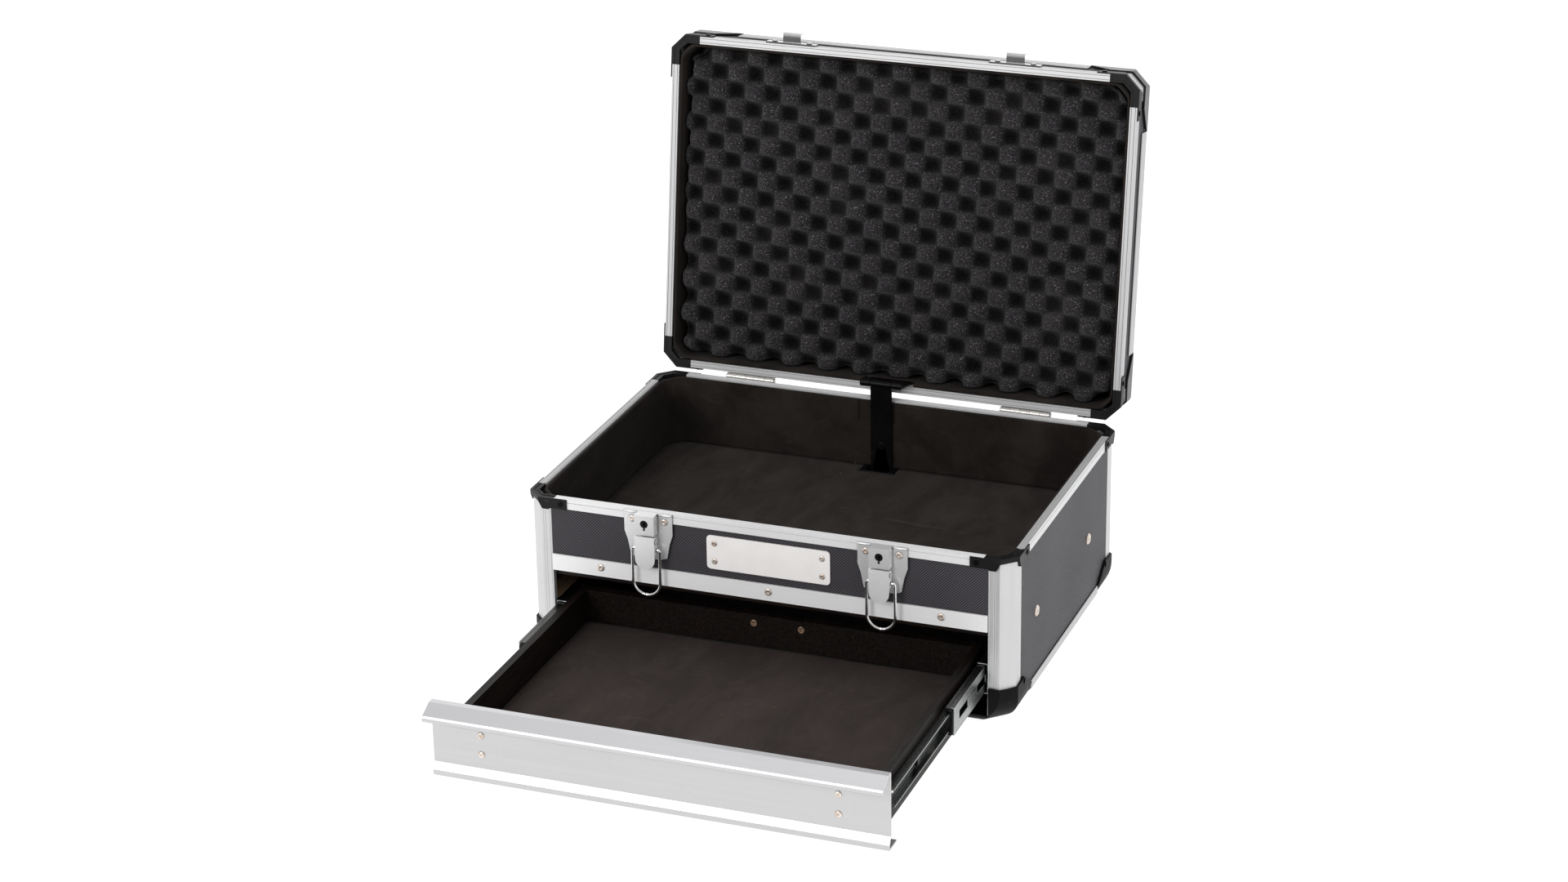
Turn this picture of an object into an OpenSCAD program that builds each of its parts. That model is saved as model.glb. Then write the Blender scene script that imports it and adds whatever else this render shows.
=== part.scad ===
// Hard case with a lidded top compartment and a drawer below, in millimetres.
// It stands on z = 0, centred in x and y. The front is at -y, the left side at -x.
// The lid stands open on its back hinges and the drawer is pulled out to the front.

/* [Case] */
// Outside width over the rims, left to right
case_w = 425; // [400:1:460]
// Outside depth over the rims, front to back
case_d = 300; // [290:1:330]
// Ground to the parting plane between base and lid
base_h = 150; // [150:1:175]
// Height of the lid over the parting plane
lid_h = 50; // [46:1:60]
// Corner chamfer of the rims
corner_chamfer = 11.7; // [10:0.1:13]

/* [Drawer] */
// Height of the drawer front
drawer_front_h = 64.8; // [60:0.1:64.8]
// How far the drawer stands pulled out in this pose
drawer_out = 237; // [0:1:250]

/* [Lid] */
// Angle the lid stands opened in this pose
lid_open = 98.05; // [0:0.05:98.05]

/* [Latches] */
// Distance of each latch from the middle of the case
latch_x = 102; // [90:1:120]
// Distance of each hinge from the middle of the case
hinge_x = 128.5; // [100:0.5:140]

/* [Name plate] */
// Width of the blank name plate
name_plate_w = 107.5; // [60:0.5:110]
// Height of the blank name plate
name_plate_h = 30; // [20:0.5:32]

/* [Handle] */
// Length of the carry handle grip between its arms
grip_l = 112; // [90:1:140]

/* [Part shown] */
// Which sub-part to build

/* [Hidden] */
$fn = 48;
half_w = case_w / 2;
half_d = case_d / 2;
// how much a 45 degree chamfer grows for each mm its outline is offset (2 - sqrt(2))
chamfer_rate = 0.5858;

// outer faces of the corner posts
post_x = half_w - 1.2;
post_y = half_d - 1.2;
post_chamfer = corner_chamfer - 1.2 * chamfer_rate;
post_end_y = post_y - 22.8;
// outer faces of the wall panels
panel_x = half_w - 1.5;
panel_y = half_d - 1.5;
// inner faces of the walls
inner_x = half_w - 6.5;
inner_y = half_d - 6.5;
inner_chamfer = 7;
// outer faces of the corner protectors, their sheet and the length of their arms
guard_x = half_w + 0.7;
guard_y = half_d + 0.7;
guard_chamfer = corner_chamfer + 0.7 * chamfer_rate;
guard_t = 1.9;
guard_arm = 52;
// lower edges of the base: rounding at the sides, at front and back, and at the corners
foot_side_r = 24;
foot_front_r = 16;
foot_toe_r = 28;
// half width of the drawer bay, where the posts end
bay_x = half_w - 22.1;
// rims: where the straight strips meet the corner pieces, height, thickness at the top
rim_end_x = half_w - 25.5;
rim_end_y = half_d - 26.5;
rim_h = 8.7;
rim_top_t = 4;
// tongue of a wall panel in the rim slot, in from the rim's outer face
tongue_in = 4.9;
tongue_out = 2.1;
// end panels and edging
edging_reach = 22.5;
edging_end_x = half_w - guard_arm;
edging_end_y = half_d - guard_arm;
panel_margin = 16; // wall panels stop this far from the ground and from the lid top
// front rail and drawer front plate share this face
rail_face_y = -half_d - 0.2;
// the name plate and the rail rivets sit this far right of the middle
front_shift = 2.5;

// Heights from here on are relative to the parting plane, unless noted.
hinge_y = half_d + 3.38;
hinge_z = 0.05;
// front face of the latch plates' front block, face of the plates, lock plug height
latch_front_y = -half_d - 10.5;
latch_plate_y = -half_d - 1.5;
lock_z = -7.6;
// pivots of the latch lever and of its bail
lever_y = -half_d - 7.8;
lever_z = -23.5;
bail_y = -half_d - 6.6;
bail_z = -31;
// stay pivot with the lid closed, then swung open about the hinge line
stay_y = half_d - 10.5;
stay_z = -16;
stay_dy = stay_y - hinge_y;
stay_dz = stay_z - hinge_z;
stay_open_y = hinge_y + stay_dy * cos(lid_open) + stay_dz * sin(lid_open);
stay_open_z = hinge_z - stay_dy * sin(lid_open) + stay_dz * cos(lid_open);

// shank radii, shared by each fastener and its hole
rim_screw_r = 1.1;
foot_screw_r = 1.3;
case_rivet_r = 1.6;
plate_rivet_r = 1.2;
latch_screw_r = 1.5;
drawer_rivet_r = 1.6;
drawer_screw_r = 1.4;

// colours used by more than one node
board_black = [0.10, 0.10, 0.11];
wall_grey = [0.24, 0.23, 0.26];
liner_brown = [0.16, 0.13, 0.12];
trim_grey = [0.84, 0.84, 0.84];
rim_grey = [0.86, 0.86, 0.86];
corner_black = [0.07, 0.07, 0.08];
screw_black = [0.12, 0.12, 0.12];
stay_black = [0.06, 0.06, 0.06];
rivet_brown = [0.62, 0.58, 0.54];
bright_metal = [0.80, 0.81, 0.82];
pin_metal = [0.70, 0.71, 0.72];
lock_metal = [0.55, 0.56, 0.57];
hinge_metal = [0.78, 0.79, 0.80];
slide_metal = [0.72, 0.74, 0.75];

// ---------- outlines ----------
// rectangle of half sizes a, b with chamfered corners
function octagon(a, b, cut) = [[-a + cut, -b], [a - cut, -b], [a, -b + cut], [a, b - cut],
  [a - cut, b], [-a + cut, b], [-a, b - cut], [-a, -b + cut]];

// rectangle of half sizes a, b with rounded corners of n steps each
function round_rect(a, b, r, n) = [
  for (q = [0 : 3], i = [0 : n])
    let (t = q * 90 + i * 90 / n, sx = q == 0 || q == 3 ? 1 : -1, sy = q < 2 ? 1 : -1)
      [sx * (a - r) + r * cos(t), sy * (b - r) + r * sin(t)]];

// rounded lower right corner, its right face at x = a
function round_toe(a, r) =
  [for (i = [0 : 9]) [a - r + r * sin(i * 10), r - r * cos(i * 10)]];

// outline of half width a with both lower corners rounded
function trough(a, r, h) = concat(
  [for (i = [0 : 9]) [-a + r - r * cos(i * 10), r - r * sin(i * 10)]],
  round_toe(a, r),
  [[a, h], [-a, h]]);

// ---------- primitives and placing ----------
module slab(x0, x1, y0, y1, z0, z1) {
  translate([x0, y0, z0]) cube([x1 - x0, y1 - y0, z1 - z0]);
}
module along_x(x0, x1) { // outline drawn as (y, z)
  translate([x0, 0, 0]) rotate([90, 0, 90]) linear_extrude(x1 - x0) children();
}
module along_y(y0, y1) { // outline drawn as (x, z)
  translate([0, y1, 0]) rotate([90, 0, 0]) linear_extrude(y1 - y0) children();
}
module rod_x(r, x0, x1, y, z) {
  translate([x0, y, z]) rotate([0, 90, 0]) cylinder(r = r, h = x1 - x0);
}
module rod_y(r, x, y0, y1, z) {
  translate([x, y1, z]) rotate([90, 0, 0]) cylinder(r = r, h = y1 - y0);
}
module both_x() { children(); mirror([1, 0, 0]) children(); }
module both_y() { children(); mirror([0, 1, 0]) children(); }
module four() { both_y() both_x() children(); }
module at_base() { translate([0, 0, base_h]) children(); }
module at_hinge() { // children drawn closed
  translate([0, hinge_y, base_h + hinge_z]) rotate([-lid_open, 0, 0])
    translate([0, -hinge_y, -hinge_z]) children();
}
module at_lid() { at_hinge() translate([0, 0, 0.1]) children(); } // a hair of gap when shut
module at_drawer() { translate([0, -drawer_out, base_h]) children(); }
module flipped(h) { translate([0, 0, h]) mirror([0, 0, 1]) children(); }

// Fasteners stand with the head on z = 0 and the shank downward.
module screw(head_r, head_h, shank_r, shank_l) {
  slot = head_r * 0.6;
  difference() {
    cylinder(r = head_r, h = head_h);
    slab(-0.4, 0.4, -slot, slot, head_h - 0.5, head_h + 1);
    slab(-slot, slot, -0.4, 0.4, head_h - 0.5, head_h + 1);
  }
  translate([0, 0, -shank_l]) cylinder(r = shank_r, h = shank_l + 0.2);
}
module rivet(head_r, head_h, shank_r, shank_l) {
  difference() {
    union() {
      cylinder(r = head_r, h = head_h * 0.5);
      translate([0, 0, head_h * 0.5])
        cylinder(r1 = head_r, r2 = head_r * 0.72, h = head_h * 0.5);
    }
    translate([0, 0, head_h - 0.5]) cylinder(r = head_r * 0.34, h = 1);
  }
  translate([0, 0, -shank_l]) cylinder(r = shank_r, h = shank_l + 0.1);
}
module hole(shank_r, depth) {
  translate([0, 0, -depth - 0.3]) cylinder(r = shank_r + 0.05, h = depth + 2);
}

// ---------- walls shared by base and lid, drawn as for the base ----------
// rim with a slot for the panels, outer face and top at 0, as (outward, z)
module rim_section() {
  polygon([[-6.5, 0], [-5.3, 0], [-5, -0.4], [-4.7, 0], [-1.9, 0], [-1.6, -0.4], [-1.3, 0],
    [0, 0], [0, -2.6], [-0.4, -2.9], [0, -3.2], [0, -rim_h], [-2, -rim_h], [-2, -rim_top_t],
    [-5, -rim_top_t], [-5, -rim_h], [-6.5, -rim_h]]);
}
module rim_strips() {
  both_x() translate([half_w, rim_end_y, 0]) rotate([90, 0, 0])
    linear_extrude(2 * rim_end_y) rim_section();
  both_y() translate([-rim_end_x, half_d, 0]) rotate([90, 0, 90])
    linear_extrude(2 * rim_end_x) rim_section();
}
// tab of a rim corner down a wall; end, foot and shoulder are measured in from half
module rim_tab(half, end, foot, shoulder) {
  inner = half - corner_chamfer + 0.2;
  polygon([[half - end, 0], [half - end, -9], [half - foot, -9], [half - shoulder, -10.3],
    [half - 15, -10.3], [inner, -rim_top_t], [inner, 0]]);
}
module rim_corner() { // at +x +y
  step = 1.6;
  intersection() {
    difference() {
      translate([0, 0, -rim_top_t]) linear_extrude(rim_top_t)
        polygon(octagon(half_w + 1, half_d + 1, corner_chamfer + chamfer_rate));
      translate([0, 0, -5]) linear_extrude(6) polygon(octagon(inner_x, inner_y, inner_chamfer));
      // shallow step round the corner
      translate([0, 0, -0.5]) difference() {
        linear_extrude(1) polygon(octagon(half_w - step, half_d - step,
          corner_chamfer - step * chamfer_rate));
        translate([0, 0, -1]) linear_extrude(3)
          polygon(octagon(inner_x + 1.8, inner_y + 1.8, inner_chamfer + 0.8));
      }
    }
    slab(rim_end_x, half_w + 2, rim_end_y, half_d + 2, -5, 1);
  }
  intersection() {
    union() {
      along_y(post_y, half_d + 1.2) rim_tab(half_w, end = 37, foot = 22, shoulder = 20.5);
      along_x(post_x, half_w + 1.2) rim_tab(half_d, end = 38, foot = 19, shoulder = 17);
    }
    difference() {
      slab(0, half_w + 2, 0, half_d + 2, -12, 0);
      slab(0, rim_end_x, 0, half_d, -13, 1);
      slab(0, half_w, 0, rim_end_y, -13, 1);
    }
  }
}
module rim_screw_places() { // head seats on the tabs, axis outward
  four() {
    translate([half_w - 31.5, half_d + 1.2, -4.6]) rotate([-90, 0, 0]) children();
    translate([half_w + 1.2, half_d - 32, -4.6]) rotate([0, 90, 0]) children();
  }
}
module drilled_rim_corners() {
  difference() {
    four() rim_corner();
    rim_screw_places() hole(rim_screw_r, 4);
  }
}
module rim_screws() {
  rim_screw_places() screw(head_r = 2.2, head_h = 0.9, shank_r = rim_screw_r, shank_l = 2.6);
}
module side_wall(bottom_z) { // at +x
  slab(inner_x, panel_x, -post_end_y, post_end_y, bottom_z, -rim_h);
  slab(half_w - tongue_in, half_w - tongue_out, -post_end_y, post_end_y, -rim_h, -4.2);
}
module back_wall(bottom_z) { // at +y
  slab(-bay_x, bay_x, inner_y, panel_y, bottom_z, -rim_h);
  slab(-rim_end_x, rim_end_x, half_d - tongue_in, half_d - tongue_out, -rim_h, -4.2);
}
module post_section() { // at +x +y
  polygon([[bay_x, post_y], [post_x - post_chamfer, post_y], [post_x, post_y - post_chamfer],
    [post_x, post_end_y], [inner_x, post_end_y], [inner_x, post_y - post_chamfer + 0.4],
    [inner_x - 6.1, inner_y], [bay_x, inner_y]]);
}

// Block of half sizes a, b with rounded lower edges.
// side_r: left and right edges, front_r: front and back, toe_r: toe of the +x +y corner
module round_block(a, b, cut, side_r, front_r, toe_r, h) {
  diagonal = (a + b - cut) / sqrt(2);
  far = 400; // beyond the case on every side
  intersection() {
    rotate([0, 0, 45]) along_y(-far, far)
      polygon(concat([[-far, 0]], round_toe(diagonal, toe_r), [[diagonal, h], [-far, h]]));
    along_y(-b - 1, b + 1) polygon(trough(a, side_r, h));
    along_x(-a - 1, a + 1) polygon(trough(b, front_r, h));
    translate([0, 0, -1]) linear_extrude(h + 2) polygon(octagon(a, b, cut));
  }
}
// Corner protector at +x +y, outer face at 0, open upward.
// corner_h: height at the corner, arm_h: height at the end of the arms
module protector(corner_h, arm_h, side_r, front_r, toe_r) {
  intersection() {
    difference() {
      round_block(guard_x, guard_y, guard_chamfer, side_r, front_r, toe_r, 60);
      translate([0, 0, guard_t]) round_block(guard_x - guard_t, guard_y - guard_t,
        guard_chamfer - guard_t * chamfer_rate,
        side_r - guard_t, front_r - guard_t, toe_r - guard_t, 70);
    }
    union() {
      along_x(half_w - edging_reach, guard_x + 1)
        polygon([[guard_y + 1, -1], [guard_y + 1, corner_h], [half_d - 30, corner_h + 2],
          [edging_end_y, arm_h], [edging_end_y, -1]]);
      along_y(half_d - edging_reach, guard_y + 1)
        polygon([[guard_x + 1, -1], [guard_x + 1, corner_h], [half_w - 31, corner_h + 2],
          [edging_end_x, arm_h], [edging_end_x, -1]]);
    }
  }
}
// angle strip against the wall whose rim face is at half, as (outward, z)
module edging_section(half, h, cut) {
  outer = half - 0.1;
  inner = half - 1.5;
  polygon([[half - edging_reach, 0], [outer - cut, 0], [outer, cut], [outer, h], [inner, h],
    [inner, cut + 0.7], [half - 0.7 - cut, guard_t], [half - edging_reach, guard_t]]);
}
module end_panel(t, step) { // bottom or top panel, outer face at 0
  x = half_w - edging_reach;
  y = half_d - edging_reach;
  slab(-x, x, -y, y, 0, step);
  translate([0, 0, step]) linear_extrude(t - step)
    polygon(octagon(half_w - 12.5, half_d - 12.5, 20));
}
function liner_outline() = octagon(inner_x - 0.2, inner_y - 0.2, inner_chamfer + 0.2);

// ---------- base walls ----------
// what is left inside the rounded lower edges of the base
module foot_room() {
  intersection() {
    translate([0, 0, guard_t]) along_y(-half_d, half_d)
      polygon(trough(guard_x - 1.95, foot_side_r - guard_t, base_h));
    translate([0, 0, guard_t]) along_x(-half_w, half_w)
      polygon(trough(guard_y - 1.95, foot_front_r - guard_t, base_h));
  }
}
module panel_rivet_places() {
  for (y = [-82, 69]) translate([panel_x, y, -73]) rotate([0, 90, 0]) children();
}
module foot_screw_places() { // heights from the ground
  four() translate([guard_x, half_d - 30, 31]) rotate([0, 90, 0]) children();
}
module bottom_panel() {
  color(board_black) end_panel(t = 7, step = 5.1);
}
module side_panels() {
  color(wall_grey) both_x() difference() {
    intersection() {
      at_base() side_wall(panel_margin - base_h);
      foot_room();
    }
    at_base() panel_rivet_places() hole(case_rivet_r, 8);
    foot_screw_places() hole(foot_screw_r, 5);
  }
}
module back_panel() {
  color(wall_grey) intersection() {
    at_base() back_wall(panel_margin - base_h);
    foot_room();
  }
}
module front_panel() {
  bottom_z = -51;
  color(wall_grey) at_base() difference() {
    union() {
      mirror([0, 1, 0]) back_wall(bottom_z);
      // tongue into the front rail
      slab(-bay_x, bay_x, -half_d + tongue_out, -half_d + tongue_in, -54.5, bottom_z);
    }
    latch_screw_places() hole(latch_screw_r, 6);
    plate_rivet_places() hole(plate_rivet_r, 4);
  }
}

// ---------- compartment under the lid ----------
floor_z = -72;
floor_t = 6;
lining_z = floor_z + floor_t + 0.2; // underside of liner and mat

module compartment_floor() {
  color([0.13, 0.11, 0.10]) at_base() difference() {
    translate([0, 0, floor_z]) linear_extrude(floor_t)
      polygon(octagon(inner_x - 0.1, inner_y - 0.1, inner_chamfer));
    slab(-13, 13, half_d - 22, half_d - 9, -73, -65); // slot for the stay strap
  }
}
module compartment_liner() {
  color(liner_brown) at_base() difference() {
    translate([0, 0, lining_z]) linear_extrude(64.3) polygon(liner_outline());
    translate([0, 0, -67]) linear_extrude(68)
      polygon(round_rect(half_w - 11.5, half_d - 9, 22, 8));
    // pressed in behind the stay bracket, not cut through
    slab(-22, 22, half_d - 15, half_d - 7.25, -22, 1);
  }
}
module compartment_mat() {
  color([0.15, 0.12, 0.11]) at_base() difference() {
    translate([0, 0, lining_z]) linear_extrude(2.8)
      polygon(round_rect(half_w - 12, half_d - 9.5, 21.5, 8));
    slab(-16.5, 16.5, half_d - 26, half_d, -67, -60);
  }
}
module stay_slot_plate() {
  color(stay_black) at_base() difference() {
    slab(-16, 16, half_d - 25, half_d - 9.6, -65.9, -62.6);
    slab(-11.5, 11.5, half_d - 20.8, half_d - 9, -67, -60);
  }
}

// ---------- base frame ----------
module corner_posts() {
  post_z = 28; // from the ground
  color(trim_grey) {
    translate([0, 0, post_z]) linear_extrude(base_h - rim_top_t - post_z) four() post_section();
    // flange of the front posts, down beside the foot
    both_x() slab(bay_x, bay_x + 0.9, -post_y, -inner_y, 9.3, post_z + 0.5);
  }
}
module base_rim() {
  color(rim_grey) at_base() difference() {
    rim_strips();
    latch_screw_places() hole(latch_screw_r, 6);
    rim_screw_places() hole(rim_screw_r, 4);
  }
}
module base_rim_corners() {
  color(corner_black) at_base() drilled_rim_corners();
}
module base_corner_screws() {
  color(screw_black) {
    at_base() rim_screws();
    foot_screw_places()
      screw(head_r = 2.2, head_h = 0.9, shank_r = foot_screw_r, shank_l = 3.4);
  }
}
module front_rail() {
  y = -half_d;
  top = -51;
  low = -65.5;
  color(rim_grey) at_base() difference() {
    along_x(-bay_x, bay_x) polygon([[rail_face_y, low], [rail_face_y, top], [y + 2, top],
      [y + 2, -55], [y + 5, -55], [y + 5, top], [y + 6.5, top], [y + 6.5, low],
      [y + 5, low], [y + 5, -57], [y + 1.4, -57], [y + 1.4, -64], [y + 3, -64], [y + 3, low]]);
    rail_rivet_places() hole(case_rivet_r, 4);
  }
}
module rail_rivet_places() {
  for (x = [-149, 0, 149])
    translate([x + front_shift, rail_face_y, -57.4]) rotate([90, 0, 0]) children();
}
module case_rivets() {
  color(rivet_brown) at_base() {
    both_x() panel_rivet_places()
      rivet(head_r = 3.6, head_h = 1.2, shank_r = case_rivet_r, shank_l = 4.8);
    rail_rivet_places()
      rivet(head_r = 3.2, head_h = 1.1, shank_r = case_rivet_r, shank_l = 3);
  }
}
module front_sill() { // channel open to the back
  y = -half_d;
  color(trim_grey) along_x(-edging_end_x, edging_end_x)
    polygon([[y + 0.5, 0], [y + 0.5, 9], [y + 25, 9], [y + 25, 7.3], [y + 2, 7.3],
      [y + 2, guard_t], [y + edging_reach, guard_t], [y + edging_reach, 0]]);
}
module bottom_edging() {
  color(trim_grey) {
    both_x() along_y(-edging_end_y, edging_end_y) edging_section(half_w, h = 20.5, cut = 13.6);
    along_x(-edging_end_x, edging_end_x) edging_section(half_d, h = 20.5, cut = 9.5);
  }
}
module foot_back() {
  protector(corner_h = 33, arm_h = 20,
    side_r = foot_side_r, front_r = foot_front_r, toe_r = foot_toe_r);
}
module foot_front() {
  difference() {
    mirror([0, 1, 0]) foot_back();
    // the front face is cut back to the bay opening
    slab(0, bay_x + 1, -guard_y - 1, -half_d + 4, 9, 60);
  }
  slab(edging_end_x, half_w - 22, -half_d + 1.5, -half_d + 25, 7.2, 9);
}
module foot_corners() {
  color(corner_black) difference() {
    union() {
      both_x() foot_back();
      both_x() foot_front();
    }
    foot_screw_places() hole(foot_screw_r, 5);
  }
}

// ---------- name plate ----------
name_plate_z = -29;
name_plate_t = 1.2;

module plate_rivet_places() {
  for (sx = [-1, 1], sz = [-1, 1])
    translate([front_shift + sx * (name_plate_w / 2 - 6.8), -panel_y - name_plate_t,
      name_plate_z + sz * (name_plate_h / 2 - 7)])
      rotate([90, 0, 0]) children();
}
module name_plate() {
  color([0.92, 0.92, 0.91]) at_base() difference() {
    along_y(-panel_y - name_plate_t, -panel_y) translate([front_shift, name_plate_z])
      polygon(round_rect(name_plate_w / 2, name_plate_h / 2, 3.4, 4));
    plate_rivet_places() hole(plate_rivet_r, 4);
  }
}
module name_plate_rivets() {
  color(rivet_brown) at_base() plate_rivet_places()
    rivet(head_r = 2.5, head_h = 0.8, shank_r = plate_rivet_r, shank_l = 3.6);
}

// ---------- latches, each drawn about x = 0 ----------
lever_r = 8.75;    // half width of the lever and radius of its lower end
bail_half = 12.05; // from the middle to each bail leg
bail_wire_r = 1.2;

module latch_pair() { for (s = [-1, 1]) translate([s * latch_x, 0, 0]) children(); }
module at_latch(side) { at_base() translate([side * latch_x, 0, 0]) children(); }
module latch_screw_places() {
  latch_pair() both_x() translate([14.2, latch_plate_y, -7.3]) rotate([90, 0, 0]) children();
}
module latch_plate() {
  along_y(latch_plate_y, latch_plate_y + 1.5)
    polygon([[-21.3, -0.2], [-21.3, -19], [-18.6, -27], [-16, -40], [-10, -42],
      [10, -42], [16, -40], [18.6, -27], [21.3, -19], [21.3, -0.2]]);
  difference() {
    slab(-8.7, 8.7, latch_front_y, latch_plate_y + 0.1, -17.5, -0.2);
    rod_y(3.45, 0, -half_d - 11, latch_plate_y - 0.3, lock_z);
    slab(-1, 1, -half_d - 11, -half_d - 7.5, -13.5, lock_z);
    // hollows behind the face
    both_x() slab(4.6, 7.5, -half_d - 9.3, latch_plate_y - 1, -16.3, -1.4);
  }
  // ears that carry the lever pivot
  both_x() difference() {
    translate([0, lever_y, lever_z]) along_x(6.2, 7.2)
      polygon([[6.4, -2], [1.2, 1.7], [0, 2.1], [-1.2, 1.7],
        [-2.05, 0.5], [-2.05, -2], [-1.2, -3.5], [6.4, -6.5]]);
    rod_x(1.27, 5, 8, lever_y, lever_z);
  }
}
module latch_plates() {
  color(bright_metal) at_base() difference() {
    latch_pair() latch_plate();
    latch_screw_places() hole(latch_screw_r, 6);
  }
}
module latch_plate_screws() {
  color([0.66, 0.63, 0.60]) at_base() latch_screw_places()
    rivet(head_r = 3.1, head_h = 1.4, shank_r = latch_screw_r, shank_l = 4.5);
}
module latch_pivot_pins() {
  color(pin_metal) at_base() latch_pair() {
    rod_x(1.25, -9.2, 9.2, lever_y, lever_z);
    both_x() rod_x(1.9, 9.0, 9.6, lever_y, lever_z);
  }
}
module lock_plug() {
  difference() {
    rod_y(3.35, 0, -half_d - 9.6, latch_plate_y - 0.5, lock_z);
    // keyhole
    rod_y(1.1, 0, -half_d - 10, -half_d - 6, lock_z);
    slab(-0.6, 0.6, -half_d - 10, -half_d - 7, -10.2, lock_z);
  }
}
module lock_plug_left() { color(lock_metal) at_latch(-1) lock_plug(); }
module lock_plug_right() { color(lock_metal) at_latch(1) lock_plug(); }
module latch_lever() {
  y = -half_d;
  difference() {
    union() {
      along_y(y - 11, y - 10) polygon(concat([[lever_r, -18.8]],
        [for (i = [0 : 8]) [lever_r * cos(i * 22.5), -39.25 - lever_r * sin(i * 22.5)]],
        [[-lever_r, -18.8]]));
      both_x() along_x(lever_r - 1, lever_r)
        polygon([[latch_front_y, -19], [latch_front_y, -35.5], [y - 6, -34.5], [y - 4.5, -32.5],
          [y - 4.5, -29.5], [y - 5.2, -21], [y - 6.5, -19.5]]);
    }
    both_x() rod_x(1.3, 7, 9.5, lever_y, lever_z);
    both_x() rod_x(1.25, 7, 9.5, bail_y, bail_z);
  }
}
module latch_lever_left() { color(bright_metal) at_latch(-1) latch_lever(); }
module latch_lever_right() { color(bright_metal) at_latch(1) latch_lever(); }
module latch_bail() {
  bend_z = -59.95;
  translate([0, bail_y, 0]) {
    both_x() {
      translate([bail_half, 0, bend_z])
        cylinder(r = bail_wire_r, h = bail_z + bail_wire_r - bend_z);
      rod_x(1.15, 7.9, bail_half, 0, bail_z);
    }
    translate([0, 0, bend_z]) rotate([90, 0, 0]) rotate([0, 0, 180]) rotate_extrude(angle = 180)
      translate([bail_half, 0]) circle(r = bail_wire_r);
  }
}
module latch_bail_left() { color(bright_metal) at_latch(-1) latch_bail(); }
module latch_bail_right() { color(bright_metal) at_latch(1) latch_bail(); }

// ---------- hinges, each drawn about x = 0 ----------
knuckle_w = 9;
hinge_half = 2.5 * knuckle_w; // five knuckles
leaf_t = 1.3;
hinge_rivet_xs = [-14, 0, 14];
hinge_rivet_z = -13;

module hinge_pair() { for (s = [-1, 1]) translate([s * hinge_x, 0, 0]) children(); }
module knuckle(i, bore_r) {
  x0 = -hinge_half + i * knuckle_w + 0.1;
  difference() {
    rod_x(3.2, x0, x0 + knuckle_w - 0.2, hinge_y, hinge_z);
    rod_x(bore_r, x0 - 1, x0 + knuckle_w + 1, hinge_y, hinge_z);
  }
}
// leaf below the hinge line; own: its knuckles, others: gaps for the other leaf's
module hinge_leaf(own, others, bore_r) {
  difference() {
    slab(-hinge_half, hinge_half, half_d, half_d + leaf_t, -22, hinge_z - 0.6);
    for (i = others)
      slab(-hinge_half - 0.1 + i * knuckle_w, -hinge_half + 0.1 + (i + 1) * knuckle_w,
        half_d - 1, half_d + 2, hinge_z - 3.7, 1);
    rod_x(bore_r, -23, 23, hinge_y, hinge_z);
    for (x = hinge_rivet_xs) rod_y(1.6, x, half_d - 1, half_d + 2, hinge_rivet_z);
  }
  for (i = own) knuckle(i, bore_r);
}
module hinge_rivets(shank_r) {
  for (x = hinge_rivet_xs) {
    rod_y(shank_r, x, half_d, half_d + 1.5, hinge_rivet_z);
    rod_y(2.6, x, half_d + leaf_t, half_d + 2.1, hinge_rivet_z);
  }
}
module hinge_base_leaves() {
  color(hinge_metal) at_base() hinge_pair() hinge_leaf([0, 2, 4], [1, 3], 1.63);
}
module hinge_lid_leaves() { // with their rivets
  color(hinge_metal) at_hinge() hinge_pair() flipped(2 * hinge_z) {
    hinge_leaf([1, 3], [0, 2, 4], 1.66);
    hinge_rivets(1.6);
  }
}
module hinge_pins() { // with the rivets of the base leaves
  color(pin_metal) at_base() hinge_pair() {
    rod_x(1.6, -22.9, 22.9, hinge_y, hinge_z);
    both_x() rod_x(2.2, hinge_half, 23.2, hinge_y, hinge_z);
    hinge_rivets(1.55);
  }
}

// ---------- drawer slides ----------
slide_z = -108.5;         // middle height of the slides
slide_h = 13.5;           // half height of battens and outer members
batten_x = half_w - 22.2; // inner face of the battens
slide_lip_x = half_w - 31.5; // open edge of outer and middle members
box_x = half_w - 35;      // outer sides of the drawer box

// channel of 1.2 sheet, web at web_x, flanges toward lip_x; h: half height
module channel(web_x, lip_x, h) {
  t = 1.2;
  flange_x = web_x + sign(lip_x - web_x) * t;
  polygon([[web_x, -h], [lip_x, -h], [lip_x, -h + t], [flange_x, -h + t], [flange_x, h - t],
    [lip_x, h - t], [lip_x, h], [web_x, h]]);
}
module slide_battens() {
  color([0.42, 0.32, 0.22]) at_base() both_x()
    slab(batten_x, inner_x - 0.1, -inner_y + 6, inner_y - 6, slide_z - slide_h, slide_z + slide_h);
}
module slide_outer_members() {
  color([0.70, 0.72, 0.73]) at_base() both_x() translate([0, 0, slide_z])
    along_y(-half_d + 3, -half_d + 253) channel(batten_x, slide_lip_x, slide_h);
}
module slide_middle() { // follows the drawer by half its travel
  translate([0, -drawer_out / 2 - half_d + 40.5, base_h + slide_z]) difference() {
    along_y(0, 210) channel(half_w - 24.6, slide_lip_x, 12.1);
    for (y = [14, 60, 150])
      translate([0, y, 0]) slab(half_w - 27, half_w - 23, 0, 22, -3.5, 3.5);
  }
}
module slide_middle_left() { color(slide_metal) mirror([1, 0, 0]) slide_middle(); }
module slide_middle_right() { color(slide_metal) slide_middle(); }
module slide_inner_members() {
  color([0.74, 0.76, 0.77]) at_drawer() both_x() translate([0, 0, slide_z])
    along_y(-half_d + 23.5, -half_d + 251.5) channel(box_x, half_w - 27.5, 8);
}
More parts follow.
